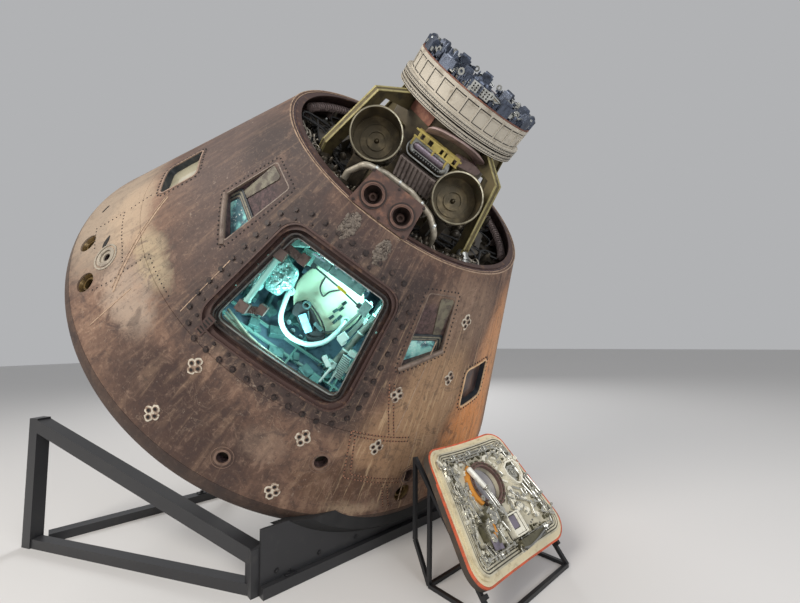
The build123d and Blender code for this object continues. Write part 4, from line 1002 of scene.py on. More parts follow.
def valve_gear(r, h):
    """Valve body on a foot, with a cross pipe and a hexagon cap."""
    cross = drum(r * 0.5, -r * 2.2, r * 2.2, 10).lying().moved(z=h * 0.5)
    cap = bolt(r * 0.7, h * 0.3, 0).moved(z=h * 0.75)
    return block(r * 2.4, r * 2.4, h * 0.12) + drum(r, 0, h * 0.8, 12) + cross + cap


def lever_gear(w, h):
    """Upright plate with a boss and a slanting link."""
    boss = drum(w * 0.3, -w * 0.3, w * 0.3, 10).lying().moved(z=h * 0.7)
    link = block(w * 0.22, w * 0.16, h * 0.9).moved(axis="Y", spin=38).moved(x=-w * 0.3, z=h * 0.15)
    return block(w, w * 0.25, h) + boss + link


GEAR = (
    lambda s: box_gear(s, s * 0.7, s * 0.8),
    lambda s: can_gear(s * 0.34, s * 1.2),
    lambda s: valve_gear(s * 0.25, s),
    lambda s: lever_gear(s * 0.8, s * 1.1),
    lambda s: box_gear(s * 0.6, s * 1.3, s * 0.5),
    lambda s: can_gear(s * 0.22, s * 1.6),
)


def scatter(count, angles, radii, height, size):
    """Hardware of each kind in turn, at seeded random places round the axis."""
    shapes = []
    for i in range(count):
        part = GEAR[i % len(GEAR)](rng.uniform(*size)).moved(spin=rng.choice([0, 0, 90, 25]))
        shapes.append(about(part, rng.uniform(*angles), rng.uniform(*radii), height))
    return joined(shapes)


# Docking ring: ribs between its panels, beads and screws of the two flanges, and its latch gear
DRUM_R, DRUM_LOW, DRUM_TOP = 0.437, 2.136, 2.268
FLANGE_R, FLANGE_LOWS = 0.462, (2.052, 2.1)
PANELS = 30
PANEL_TURN = 360 / PANELS


def hoop(radius, proud, low, high):
    """Thin hoop that stands proud of a round wall and is sunk 2 mm into it."""
    return ring(radius + proud, radius - 0.002, low, high, 120)


def on_panels(shape, offset, height):
    """The shape once on every panel of the drum, at an angle from the panel's edge."""
    return joined(about(shape, i * PANEL_TURN + offset, DRUM_R, DRUM_LOW + height) for i in range(PANELS))


bands = hoop(DRUM_R, 0.004, DRUM_TOP - 0.024, DRUM_TOP - 0.004)
bands += hoop(DRUM_R, 0.004, DRUM_LOW + 0.001, DRUM_LOW + 0.013)
ribs = on_panels(block(0.011, 0.008, DRUM_TOP - DRUM_LOW - 0.03), 0, 0.011)
ribs += on_panels(block(0.06, 0.006, 0.004), PANEL_TURN / 2, 0.094)
capsule_piece("ring_ribs", bands + ribs, "cream_ring", "ring_metal")
capsule_piece("ring_top_edge", ring(DRUM_R + 0.002, DRUM_R - 0.033, DRUM_TOP - 0.002, DRUM_TOP + 0.005, 120),
              "red_brown", "brown_paint")
beads = joined(hoop(FLANGE_R, 0.003, low + a, low + a + 0.004) for low in FLANGE_LOWS
               for a in (0.0, 0.009, 0.027, 0.032))
capsule_piece("flange_beads", beads, "cream_ring", "ring_metal")
# black lines painted as shade: in the gaps between the flange beads, along the drum bands' edges, and beside
# each panel rib
grooves = joined(hoop(FLANGE_R, 0.001, low + a, low + b) for low in FLANGE_LOWS
                 for a, b in ((0.0042, 0.0088), (0.0225, 0.0268)))
grooves += hoop(DRUM_R, 0.0012, DRUM_LOW + 0.013, DRUM_LOW + 0.018)
grooves += hoop(DRUM_R, 0.0012, DRUM_TOP - 0.03, DRUM_TOP - 0.024)
grooves += on_panels(block(0.004, 0.0024, DRUM_TOP - DRUM_LOW - 0.048), 1.05, 0.018)
capsule_piece("ring_shade_lines", grooves, "hole_black", "dark_metal")
screw = drum(0.0032, 0, 0.0035, 6).lying()
screws = joined(about(screw, i * 2.4, FLANGE_R, low + 0.019) for low in FLANGE_LOWS for i in range(150))
capsule_piece("flange_screws", screws, "grey_metal", "bare_metal")
# black blocks for the flange's slots: painted shade inside them
slots = joined(about(block(0.028, 0.018, 0.03), 15 + i * 30, FLANGE_R - 0.012, 2.079) for i in range(12))
slots += ring(FLANGE_R - 0.02, FLANGE_R - 0.026, 2.087, 2.101, 120)
capsule_piece("flange_slots", slots, "hole_black", "dark_metal")

top = DRUM_TOP + 0.005
latch_bed = ring(0.428, 0.372, DRUM_TOP - 0.002, top, 96)
latch_gear = scatter(190, (0, 360), (0.385, 0.424), top, (0.018, 0.034))
latch_gear += scatter(40, (0, 360), (0.388, 0.415), top + 0.015, (0.028, 0.042))
latch_gear += scatter(22, (-50, 8), (0.388, 0.415), top + 0.02, (0.045, 0.064))
# the latch gear's blue tint is painted blue overhead light
capsule_piece("latch_gear", latch_bed + latch_gear, "blue_lit_grey", "bare_metal")
links = []
for i in range(12):
    for side in (-1, 1):
        start, end = (side * 0.02, -0.41, top + 0.05), (side * 0.075, -0.4, top + 0.028)
        links.append(rod(start, end, 0.006, 8).moved(spin=i * 30))
    links.append(about(ring(0.02, 0.01, -0.008, 0.008, 18).lying(), i * 30 + 14, 0.412, top + 0.045))
    links.append(about(block(0.034, 0.01, 0.022), i * 30 + 7, 0.428, top + 0.012))
links.append(cables(8, (-170, 170), (0.386, 0.42), (top + 0.012, top + 0.055), (0.003, 0.006)))
capsule_piece("latch_links", joined(links), "pale_metal", "bare_metal")
PLATE_AT = (5, 0.434, DRUM_TOP + 0.014)
plates = about(block(0.13, 0.006, 0.052), *PLATE_AT)
plates += about(block(0.03, 0.008, 0.03), -4, 0.434, DRUM_TOP - 0.004)
# black discs for the plate's holes: painted shade inside them
holes = joined(drum(0.005, -0.001, 0.0015, 10).lying().moved(x, -0.003, z)
               for x in np.linspace(-0.05, 0.05, 6) for z in (0.012, 0.026, 0.04))
capsule_piece("latch_plate", plates, "pale_metal", "bare_metal")
capsule_piece("latch_plate_holes", about(holes, *PLATE_AT), "hole_black", "dark_metal")

# Parts on the tunnel's front
red_panel = bent(prism(oblong(0.185, 0.075, 0.012) + (-0.185, 2.008), -0.002, 0.012), TUNNEL_R)
red_panel += bent(prism(oblong(0.1, 0.05, 0.01) + (0.36, 1.99), -0.002, 0.01), TUNNEL_R)
capsule_piece("tunnel_panel", red_panel, "red_brown", "brown_paint")
dark_wrap = bent(prism(oblong(0.78, 0.03, 0.006) + (0.0, 2.036), 0.0, 0.006), TUNNEL_R)
capsule_piece("tunnel_wrap", dark_wrap, "hole_black", "dark_metal")

# Collar under the tunnel's wrap: a section carried round part of the tunnel. Its rim rises from each
# end as sine to the power 0.35, less a sag as the way's sixth power, and its depth swells likewise
DISH_ANGLES, DISH_LOW, DISH_HIGH = (-13.0, 52.0), 1.895, 2.04
t = np.linspace(0, 1, 49)
angle = np.radians(DISH_ANGLES[0] + (DISH_ANGLES[1] - DISH_ANGLES[0]) * t)
swell = np.sin(np.pi * t) ** 0.35
rim_h = DISH_LOW + 0.04 + (DISH_HIGH - DISH_LOW - 0.04) * swell * (1 - 0.35 * t ** 6)
section = np.array([(0.012, -0.05), (0.085, -0.012), (0.092, -0.004), (0.088, 0.004), (0.05, 0.006),
                    (0.012, -0.03)])
r = TUNNEL_R + section[:, :1] * (0.45 + 0.55 * swell)
h = rim_h + section[:, 1:]
dish = skin(np.stack([r * np.sin(angle), -r * np.cos(angle), h], -1), round_u=True, round_v=False)
low_lip = bent(prism(oblong(0.2, 0.055, 0.025) + (0.24, 1.925), 0.0, 0.055), TUNNEL_R)
capsule_piece("collar", dish + low_lip, "dish_paint", "brown_paint", smooth=50)

# Ladder-like bracket in front of the collar: two rails, rungs, feet and a shelf
LADDER_X, LADDER_Y = 0.028, -0.452
ladder = block(0.345, 0.01, 0.01, (LADDER_X, LADDER_Y, 1.934))
ladder += block(0.33, 0.01, 0.008, (LADDER_X, LADDER_Y, 1.893))
for x, w in ((-0.105, 0.016), (-0.055, 0.034), (0.022, 0.06), (0.08, 0.018), (0.125, 0.05), (0.18, 0.016)):
    ladder += block(w, 0.008, 0.044, (x, LADDER_Y, 1.892))
for x in (-0.125, 0.022, 0.124):
    ladder += block(0.014, 0.012, 0.06, (x, LADDER_Y, 1.842)) + block(0.014, 0.07, 0.008, (x, -0.418, 1.842))
ladder += block(0.31, 0.05, 0.006, (LADDER_X, -0.428, 1.938))
capsule_piece("ladder_bracket", ladder, "yellow_bracket", "gold_metal", bevel=0.0012)

# Face of the rounded casing, in the casing's own plane
CASING_AT, CASING_UP = (0.012, -0.445, 1.8325), np.array([0.0, 0.34, 0.94]) / np.hypot(0.34, 0.94)
casing_place = Place(CASING_AT, np.array([(1, 0, 0), CASING_UP, np.cross((1, 0, 0), CASING_UP)]).T)
rim_line = band(oblong(0.306, 0.106, 0.053, 9), oblong(0.29, 0.09, 0.045, 9), -0.012, 0.004)
capsule_piece("casing_rim", rim_line.at(casing_place), "pale_metal", "bare_metal")
hump = pipe([(-0.1, 0.018, 0.0), (0.1, 0.018, 0.0)], 0.024, 16, 4)
for side in (1, -1):
    hump += dome(0.024, 0.022, 16).moved(axis="Y", spin=side * 90).moved(side * 0.1, 0.018, 0)
capsule_piece("casing_hump", hump.at(casing_place), "purple_grey", "bare_metal")
# black recess under the hump: painted shade
recess = prism(oblong(0.21, 0.022, 0.01) + (0.005, -0.022), -0.004, 0.0035)
capsule_piece("casing_recess", recess.at(casing_place), "hole_black", "dark_metal")
bits = joined(block(0.008, 0.01, 0.012, (x, -0.022, 0.0)) for x in np.linspace(-0.09, 0.1, 11))
capsule_piece("casing_bits", bits.at(casing_place), "grey_metal", "bare_metal")

# Corrugated pack: its front runs as the absolute value of a cosine to the power 0.6, once a pleat
PLEATS, PACK, PACK_HIGH, PACK_SHEAR = 9, (0.275, 0.11, 0.12), 1.695, -0.18
across = np.linspace(-0.5, 0.5, PLEATS * 12 + 1)
ridge = 0.014 * np.abs(np.cos(np.pi * PLEATS * (across + 0.5))) ** 0.6
front = np.column_stack([across * PACK[0], -PACK[1] / 2 - ridge + 0.01])
back = np.array([(PACK[0] / 2, PACK[1] / 2 - 0.03), (-PACK[0] / 2, PACK[1] / 2 - 0.03)])
pleated = prism(np.vstack([front, back]), -PACK[2] / 2, PACK[2] / 2)
pleated = pleated.moved(0.015, -(TUNNEL_R + 0.05), PACK_HIGH)
pleated.points[:, 0] += (pleated.points[:, 2] - PACK_HIGH) * PACK_SHEAR
pack = capsule_piece("pleated_pack", pleated, "boot_grey", "fabric", smooth=60, replaces=("bay_pack",))

# Mortar cans: bright lip, stepped bottom, hoops outside
MORTAR_AT, MORTAR_R, MORTAR_L, MORTAR_LEAN = (0.3, -0.65, 1.822), 0.152, 0.17, radians(60)
cs, sn = np.cos(MORTAR_LEAN), np.sin(MORTAR_LEAN)
lips, steps, hoops = [], [], []
for side in (-1, 1):
    mouth = Place((side * MORTAR_AT[0], *MORTAR_AT[1:]), np.array([(1, 0, 0), (0, cs, sn), (0, -sn, cs)]).T)
    profile = np.array([(-0.005, -0.003), (0.003, -0.003), (0.003, 0.0), (-0.004, 0.0015)]) + (MORTAR_R, 0)
    lips.append(lathe(profile, 72).at(mouth))
    for radius, low in ((0.145, 0.0), (0.104, 0.004), (0.06, 0.008)):
        steps.append(ring(radius, radius - 0.006, 0.001, 0.004 + low, 64).moved(z=0.005 - MORTAR_L).at(mouth))
    steps.append(dome(0.016, 0.02, 20).moved(z=0.005 - MORTAR_L).at(mouth))
    hoops += [ring(MORTAR_R + 0.004, MORTAR_R - 0.002, z, z + 0.008, 64).at(mouth)
              for z in (-0.045, -0.1, -0.165)]
    strap = block(0.022, 0.012, 0.1, (0, -MORTAR_R - 0.004, -0.155))
    hoops += [strap.moved(spin=a).at(mouth) for a in range(20, 360, 40)]
capsule_piece("mortar_lips", joined(lips), "lip_olive", "bare_metal")
capsule_piece("mortar_steps", joined(steps), "mortar_metal", "dark_metal")
capsule_piece("mortar_hoops", joined(hoops), "dark_metal", "dark_metal")

# Gussets: side flanges along their bent outer edge
lip_line = np.array([(0.452, 2.048), (0.655, 1.977), (0.8, 1.56), (0.8, 1.336)])
beads = []
for i in range(4):
    for y in (-0.021, 0.021):
        run = np.column_stack([lip_line[:, 0], np.full(4, y), lip_line[:, 1]])
        beads += [bar(a, b, 0.004, 0.016).moved(spin=-45 + i * 90) for a, b in zip(run[:-1], run[1:])]
capsule_piece("gusset_flanges", joined(beads), "gusset_edge", "gold_metal")

# Engine block: throats, face rings and corner screws
rings_dark, rings_light = [], []
for x in (-0.098, 0.098):
    nozzle = slope(0, 1.634) @ Place((x, 0, 0))
    bell = lathe([(0.051, 0.006), (0.046, -0.02), (0.034, -0.06), (0.03, -0.085), (0.0512, -0.085)], 40)
    rings_dark.append(bell.at(nozzle))
    rings_dark.append(ring(0.078, 0.07, 0.001, 0.006, 40).at(nozzle))
    rings_light.append(ring(0.067, 0.06, 0.006, 0.011, 40).at(nozzle))
    rings_light.append(ring(0.022, 0.014, -0.082, -0.07, 24).at(nozzle))
face = slope(0, (1.552 + 1.738) / 2)
rings_dark.append(joined(bolt(0.006, 0.005).moved(x, y).at(face) for x in (-0.172, 0.0, 0.172)
                         for y in (-0.098, 0.098)))
capsule_piece("nozzle_throats", joined(rings_dark), "throat", "dark_metal")
capsule_piece("nozzle_rings", joined(rings_light), "nozzle_ring", "brown_paint")

# Vent pipe clips and collars
clips = []
for x, out, h in ((-0.185, 0.72, 1.679), (-0.03, 0.667, 1.677), (0.15, 0.676, 1.662), (0.29, 0.728, 1.617)):
    clips.append(ring(0.024, 0.0195, -0.007, 0.007, 20).moved(axis="Y", spin=90).moved(x, -out, h))
    clips.append(block(0.01, 0.03, 0.006, (x, -out + 0.03, h - 0.003)))
    clips.append(block(0.01, 0.008, 0.1, (x, -out + 0.045, h - 0.1)))
capsule_piece("pipe_clips", joined(clips), "pale_metal", "bare_metal")

# Ribbed hoses on the bay's inner wall and the wall's edge lines
HOSE_R, HOSE_HIGH = 0.935, 1.445
rib = lathe([(0.03, -0.006), (0.034, 0.0), (0.03, 0.006), (0.018, 0.006), (0.018, -0.006)], 16)
rib = rib.moved(axis="Y", spin=90)
t = np.radians(np.linspace(91, 133, 8))
arc = np.stack([HOSE_R * np.sin(t), -HOSE_R * np.cos(t), np.full(8, HOSE_HIGH)], -1)
hose = []
for side in (-1, 1):
    hose += [about(rib, side * a, HOSE_R, HOSE_HIGH) for a in np.arange(92, 132, 1.9)]
    hose.append(pipe(arc * (side, 1, 1), 0.02, 12, 6))
    hose += [about(block(0.02, 0.045, 0.09), side * a, HOSE_R + 0.01, HOSE_HIGH - 0.09)
             for a in (95, 112, 129)]
capsule_piece("wall_hoses", joined(hose), "hose_grey", "dark_metal")
rim_r, rim_top = cone_r(RIM), RIM + 0.003
rim_lines = ring(rim_r + 0.001, rim_r - 0.005, RIM - 0.01, rim_top, 160)
rim_lines += ring(rim_r - 0.018, rim_r - 0.022, RIM - 0.002, rim_top, 160)
capsule_piece("rim_lines", rim_lines, "pale_seams", "brown_paint")

# What is packed round the deck: boxes, canisters, valves, brackets and harness
# FREE has the spans of angle between gussets, mortars and engines
FREE = ((-88, -52), (-40, -14), (17, 42), (50, 88), (96, 132), (140, 175), (185, 220), (228, 262))
stuff = [scatter(26, span, (0.5, 0.89), DECK, (0.05, 0.12)) for span in FREE]
stuff += [scatter(count, span, (0.8, 0.9), DECK + 0.02, (0.06, 0.11))
          for count, span in ((30, (-48, -14)), (34, (15, 52)))]
stuff += [about(block(0.09, 0.07, 0.14), a, 0.84, DECK) for a in (-36, -26, -19, 18, 24, 31, 38)]
stuff += [scatter(count, span, (0.8, 0.89), DECK + 0.13, (0.03, 0.07))
          for count, span in ((26, (-44, -14)), (30, (16, 44)))]
capsule_piece("bay_gear", joined(stuff), "dark_metal", "dark_metal")
light_stuff = [scatter(9, span, (0.52, 0.88), DECK + 0.03, (0.03, 0.06)) for span in FREE]
light_stuff += [scatter(30, span, (0.8, 0.9), DECK + 0.14, (0.014, 0.034)) for span in ((-46, -14), (14, 52))]
light_stuff.append(about(can_gear(0.042, 0.12).moved(axis="X", spin=-60), 46, 0.86, 1.47))
capsule_piece("bay_fittings", joined(light_stuff), "grey_metal", "bare_metal")
dark_runs = cables(26, (-100, 100), (0.56, 0.9), (DECK + 0.02, 1.5), (0.004, 0.009))
dark_runs += cables(16, (80, 280), (0.48, 0.9), (DECK + 0.01, 1.44), (0.004, 0.009))
capsule_piece("harness_dark", dark_runs, "black_rubber", "seal")
pale_runs = cables(12, (-70, -14), (0.8, 0.9), (1.44, 1.53), (0.0025, 0.005))
pale_runs += cables(12, (14, 60), (0.8, 0.9), (1.44, 1.53), (0.0025, 0.005))
pale_runs += cables(7, (-70, 70), (0.389, 0.4), (1.4, 1.78), (0.003, 0.005))
capsule_piece("harness_pale", pale_runs, "cable_pale", "seal")
# small boxes on the tunnel's wall, on six heights, none behind the pack
tunnel_gear = joined(bent(box_gear(0.05, 0.04, 0.03).moved(x, 1.45 + 0.08 * (i % 6)), TUNNEL_R)
                     for i, x in enumerate(np.linspace(-1.15, 1.15, 30)) if abs(x - 0.02) > 0.16)
capsule_piece("tunnel_gear", tunnel_gear, "gold_metal", "gold_metal")

# Cabin behind the hatch: shapes are drawn in the plane of the opening and set in by a depth

def inside(shape, x=0.0, y=0.0, depth=0.0, spin=0.0):
    """Sets a shape at (across, up) and a depth behind the hatch opening, in the capsule frame."""
    return shape.moved(x, y, -depth, spin).at(HATCH)


def run_inside(points, radius, n=12, per=8):
    """Tube through points of (across, up, depth)."""
    return pipe(np.array(points) * (1, 1, -1), radius, n, per).at(HATCH)


# Hinge at the left edge: a round bar between two ribbed brackets
HINGE_X, HINGE_R = -0.329, 0.0185
bar_line = ring(HINGE_R, 0.0005, -0.178, 0.178).lying()
bar_line += joined(ring(HINGE_R + 0.004, HINGE_R, z, z + 0.01).lying() for z in (-0.15, 0.136))
capsule_piece("hinge_bar", inside(bar_line, HINGE_X, 0, 0.11), "mint_paint", "bare_metal",
              replaces=("hatch_hinge",))
brackets = [inside(block(0.066, 0.064, 0.056), HINGE_X, y, 0.14) for y in (-0.186, 0.186)]
brackets += [inside(block(0.15, 0.05, 0.03), -0.262, 0.232, 0.175, -4),
             inside(block(0.052, 0.07, 0.05), -0.212, 0.236, 0.185),
             inside(block(0.16, 0.044, 0.03), -0.292, -0.19, 0.175, 28),
             inside(block(0.05, 0.06, 0.05), -0.236, -0.15, 0.185)]
brackets += [inside(block(0.004, 0.048, 0.006), -0.325 + 0.012 * i, 0.231, 0.145, -4) for i in range(12)]
brackets += [inside(block(0.004, 0.042, 0.006).moved(-0.072 + 0.012 * i), -0.292, -0.19, 0.145, 28)
             for i in range(13)]
HINGE_BOLTS = ((-0.3, 0.234), (-0.262, 0.232), (-0.225, 0.23), (-0.33, -0.208), (-0.29, -0.188))
brackets += [inside(bolt(0.009, 0.01), x, y, 0.14) for x, y in HINGE_BOLTS]
capsule_piece("hinge_arms", joined(brackets), "hinge_brown", "bare_metal", bevel=0.0012)

# Round panel on two posts from the floor, with its rim, and the tube that runs below it
DISC_AT, DISC_R, DISC_DEPTH = (0.035, 0.085), 0.235, 0.5
profile = [(0.0005, 0.0), (DISC_R - 0.03, 0.0), (DISC_R, -0.01), (DISC_R, -0.034), (0.0005, -0.034)]
disc = inside(lathe(profile, 96), *DISC_AT, DISC_DEPTH)
disc += inside(ring(DISC_R + 0.006, DISC_R - 0.006, -0.026, -0.016, 96), *DISC_AT, DISC_DEPTH)
capsule_piece("round_panel", disc, "sage_paint", "cabin_paint")
posts = []
for x in (-0.12, 0.16):
    top = HATCH((x, 0.02, -DISC_DEPTH - 0.04))
    foot = (top[0], top[1] + 0.1, CABIN_FLOOR)
    posts.append(rod(top, foot, 0.018, 14) + block(0.09, 0.09, 0.012, foot))
capsule_piece("round_panel_posts", joined(posts), "teal_metal", "cabin_paint")
tube_points = [(-0.205, -0.02, 0.475), (-0.198, -0.04, 0.42), (-0.16, -0.16, 0.41), (-0.11, -0.22, 0.41),
               (-0.036, -0.25, 0.41), (0.05, -0.245, 0.41),
               (0.12, -0.215, 0.41), (0.185, -0.14, 0.41), (0.212, -0.03, 0.42), (0.212, 0.03, 0.475)]
tube = run_inside(tube_points, 0.0175, 18, 10)
tube += joined(inside(ring(0.03, 0.018, -0.006, 0.02, 20), x, y, 0.5)
               for x, y in ((-0.205, -0.018), (0.212, 0.034)))
capsule_piece("bow_tube", tube, "mint_bright", "cabin_paint")

pads = inside(prism(oblong(0.27, 0.12, 0.05), -0.03, 0.02), 0.045, -0.13, 0.47, -28)
pads += inside(prism(oblong(0.1, 0.1, 0.03), -0.03, 0.03), -0.075, -0.075, 0.46, 12)
pad = capsule_piece("dark_cushion", pads, "webbing", "fabric", smooth=50, bevel=0.01)
sky_plate = inside(prism(oblong(0.13, 0.05, 0.006), -0.006, 0.018), 0.005, -0.122, 0.425, -34)
capsule_piece("sky_plate", sky_plate, "sky_plate", "bare_metal", bevel=0.002)
bits = [run_inside([(-0.03, -0.05, 0.44), (0.02, -0.105, 0.415)], 0.007, 10),
        run_inside([(0.055, -0.085, 0.44), (0.07, -0.155, 0.42)], 0.006, 10),
        inside(ring(0.028, 0.017, -0.02, 0.012, 28), -0.06, -0.022, 0.44),
        inside(block(0.07, 0.022, 0.02), 0.085, -0.095, 0.44, -10)]
bits += [inside(drum(0.017, -0.006, 0.006, 20), x, y, 0.465)
         for x, y in ((-0.09, -0.19), (-0.035, -0.222), (0.03, -0.228))]
SWITCH_BOXES = ((0.135, 0.13, 70), (0.14, 0.085, 74), (0.12, 0.0, 70), (0.165, 0.03, 80),
                (0.155, -0.01, 80), (0.115, 0.052, 70))
bits += [inside(box_gear(0.036, 0.02, 0.016), x, y, 0.5, a) for x, y, a in SWITCH_BOXES]
capsule_piece("round_panel_fittings", joined(bits), "teal_dark", "dark_metal")
LOOPS = (
    [(-0.075, 0.2, 0.497), (-0.06, 0.12, 0.488), (-0.01, 0.085, 0.488), (0.01, 0.135, 0.49),
     (0.06, 0.19, 0.497)],
    [(-0.11, -0.045, 0.49), (-0.08, -0.005, 0.47), (0.0, -0.02, 0.462), (0.09, -0.062, 0.462),
     (0.15, -0.11, 0.47)],
    [(0.07, -0.15, 0.46), (0.13, -0.11, 0.44), (0.185, -0.06, 0.44), (0.208, -0.01, 0.45)],
    [(0.02, -0.165, 0.45), (0.07, -0.19, 0.43), (0.125, -0.16, 0.43), (0.145, -0.11, 0.45)],
)
capsule_piece("straps", joined(run_inside(p, 0.0055, 8, 10) for p in LOOPS), "webbing", "fabric")

# Bars and boxes at the opening's upper edge, long members at the right, and pipes along its foot
bars = inside(block(0.44, 0.03, 0.028), 0.02, 0.352, 0.18)
bars += inside(block(0.3, 0.012, 0.02), 0.06, 0.322, 0.17)
bars += joined(inside(block(0.014, 0.06, 0.04), x, 0.335, 0.17) for x in (-0.14, -0.03, 0.09, 0.2))
bars += joined(inside(block(0.03, 0.012, 0.026), x, 0.3, 0.165, 12) for x in (-0.175, -0.15, -0.12))
capsule_piece("sill_bar", bars, "pale_blue", "bare_metal", bevel=0.0015)
boxes = inside(block(0.25, 0.075, 0.11), 0.066, 0.29, 0.33)
boxes += inside(block(0.11, 0.055, 0.1), -0.12, 0.278, 0.33)
boxes += inside(block(0.06, 0.09, 0.08), 0.255, 0.205, 0.3)
capsule_piece("sill_boxes", boxes, "teal_metal", "cabin_paint", bevel=0.003)
latch_rod = run_inside([(-0.155, 0.232, 0.24), (0.03, 0.218, 0.245), (0.215, 0.196, 0.24)], 0.006, 10, 4)
latch_rod += joined(inside(block(0.03, 0.03, 0.06), x, y, 0.29) for x, y in ((-0.155, 0.235), (0.215, 0.198)))
capsule_piece("latch_rod", latch_rod, "teal_dark", "dark_metal")
capsule_piece("yellow_tab", inside(block(0.07, 0.018, 0.012), 0.07, 0.216, 0.245, -6), "cabin_yellow",
              "cabin_paint", bevel=0.002)
members = run_inside([(0.352, 0.29, 0.3), (0.312, -0.225, 0.36)], 0.023, 18, 0)
members += run_inside([(0.272, 0.255, 0.36), (0.215, -0.06, 0.42)], 0.01, 12, 0)
members += run_inside([(0.402, 0.22, 0.24), (0.405, -0.2, 0.26)], 0.014, 14, 0)
members += inside(block(0.03, 0.2, 0.04), 0.292, 0.08, 0.4, -6)
members += joined(run_inside([(x, -0.205, 0.3), (x - 0.02, -0.3, 0.4)], 0.007, 8, 0)
                  for x in (0.26, 0.3, 0.345, 0.38))
capsule_piece("side_members", members, "member_grey", "cabin_paint")
clamps = joined(inside(block(0.06, 0.04, 0.06), x, y, 0.37, a)
                for x, y, a in ((0.262, -0.06, -20), (0.3, -0.225, 10), (0.335, 0.13, 0), (0.372, -0.09, 0)))
clamps += inside(block(0.055, 0.06, 0.03), 0.256, -0.035, 0.33, -18)
clamps += joined(inside(ring(0.027, 0.022, -0.006, 0.006, 20).lying(), x, y, depth)
                 for x, y, depth in ((0.345, 0.2, 0.31), (0.334, 0.05, 0.33), (0.322, -0.1, 0.345)))
capsule_piece("member_clamps", clamps, "mint_bright", "cabin_paint", bevel=0.002)
rack = joined(inside(block(0.06, 0.005, 0.03), 0.35 + 0.002 * i, -0.12 - 0.013 * i, 0.3) for i in range(12))
capsule_piece("plate_rack", rack, "mint_bright", "cabin_paint")
# four pipes side by side: each point's place, and its step from one pipe to the next
points = np.array([(-0.4, -0.262, 0.16), (-0.19, -0.33, 0.17), (0.06, -0.35, 0.18)])
steps = np.array([(0, -0.026, 0.012), (0, -0.012, 0.012), (0, -0.006, 0)])
sill_runs = joined(run_inside(points + k * steps, r, 10, 6)
                   for k, r in enumerate((0.009, 0.006, 0.01, 0.005)))
capsule_piece("sill_pipes", sill_runs, "pipe_mint", "cabin_paint")
white_ends = run_inside([(0.3, -0.214, 0.2), (0.296, -0.33, 0.22)], 0.008, 10, 0)
white_ends += run_inside([(0.345, -0.225, 0.24), (0.352, -0.32, 0.26)], 0.006, 10, 0)
white_ends += inside(block(0.07, 0.03, 0.03), 0.255, -0.205, 0.26, -30)
capsule_piece("white_handles", white_ends, "mint_bright", "cabin_paint")


def crumpled(width, length, height, folds, n=90):
    """Round pillow of foil. A square grid is drawn into a disc, x root(1 - y2/2), with an uneven rim;
    the height falls as root(1 - r4) and follows creases: broad and fine folds, each the absolute
    value of a sine along its own seeded direction, and pleats that run out to the rim."""
    s = np.linspace(-1, 1, n)
    x, y = np.meshgrid(s, s, indexing="ij")
    x, y = x * np.sqrt(1 - y ** 2 / 2), y * np.sqrt(1 - x ** 2 / 2)
    reach, way = np.hypot(x, y), np.arctan2(y, x)
    swell = np.sqrt(np.maximum(1 - reach ** 4, 0))
    crease = 0.5 * reach * np.abs(np.sin(5.5 * way + 2 * np.sin(2 * way + rng.uniform(0, 6.3))))
    for i in range(folds):
        a, k, shift = rng.uniform(0, np.pi), 2.0 * 1.19 ** i, rng.uniform(0, 6.3)
        bend = 0.35 * np.sin(3.1 * (x * np.sin(a) - y * np.cos(a)) + shift)
        bend += 0.12 * np.sin(8.3 * (x * np.sin(a) + y) + 2 * shift)
        crease += np.abs(np.sin(k * (x * np.cos(a) + y * np.sin(a) + bend) + shift)) ** 0.8 / k ** 0.62
    crease = crease / crease.max()
    rim = 1 + 0.09 * np.sin(3 * way + shift) + 0.05 * np.sin(7 * way)
    top = np.stack([x * rim * width / 2, y * rim * length / 2, swell * height * (0.4 + 0.6 * crease)], -1)
    low = top * (1, 1, -0.4)
    upper, lower = skin(top, False, lids=False), skin(low, False, lids=False)
    return upper + lower


FOILS = ((-0.308, 0.046, 0.4, 30), (-0.41, -0.04, 0.36, 20))
foil = inside(crumpled(0.21, 0.26, 0.06, 15), *FOILS[0]) + inside(crumpled(0.12, 0.19, 0.05, 15), *FOILS[1])
blanket = capsule_piece("foil_blankets", foil, "crumpled_foil", "fabric", smooth=22)
stand = inside(block(0.13, 0.17, 0.02), -0.308, 0.046, 0.44, 30)
stand += inside(block(0.07, 0.12, 0.02), -0.41, -0.04, 0.4, 20)
for x, y in ((-0.29, 0.0), (-0.41, -0.04), (-0.33, 0.11)):
    top = HATCH((x, y, -0.43))
    stand += rod(top, (top[0], top[1] + 0.08, CABIN_FLOOR), 0.012, 10)
capsule_piece("foil_tray", stand, "teal_dark", "dark_metal")

# Small gear on the inner wall round the opening
fringe = []
for (x, y), a in zip(*evenly(hatch_line(0.012), 70)):
    size = rng.uniform(0.6, 1.3)
    gear = GEAR[rng.integers(len(GEAR))](0.03 * size)
    x, y, depth = x + rng.normal(0, 0.006), y + rng.normal(0, 0.006), 0.135 + rng.uniform(0, 0.05)
    fringe.append(inside(gear, x, y, depth, a))
capsule_piece("sill_gear_dark", joined(fringe[::2]), "teal_dark", "dark_metal")
capsule_piece("sill_gear_pale", joined(fringe[1::2]), "mint_paint", "cabin_paint")
floor_kit = [block(rng.uniform(0.03, 0.12), rng.uniform(0.03, 0.1), rng.uniform(0.01, 0.06),
                   (x, y, CABIN_FLOOR), rng.uniform(0, 90))
             for x, y in zip(rng.uniform(-0.6, 0.7, 36), rng.uniform(-1.25, -0.72, 36))]
corner = inside(block(0.11, 0.07, 0.03), -0.318, 0.302, 0.36, 34)
corner += inside(block(0.05, 0.03, 0.02), -0.29, 0.3, 0.33, 20)
corner += inside(block(0.1, 0.1, 0.04), -0.222, 0.25, 0.4, 12)
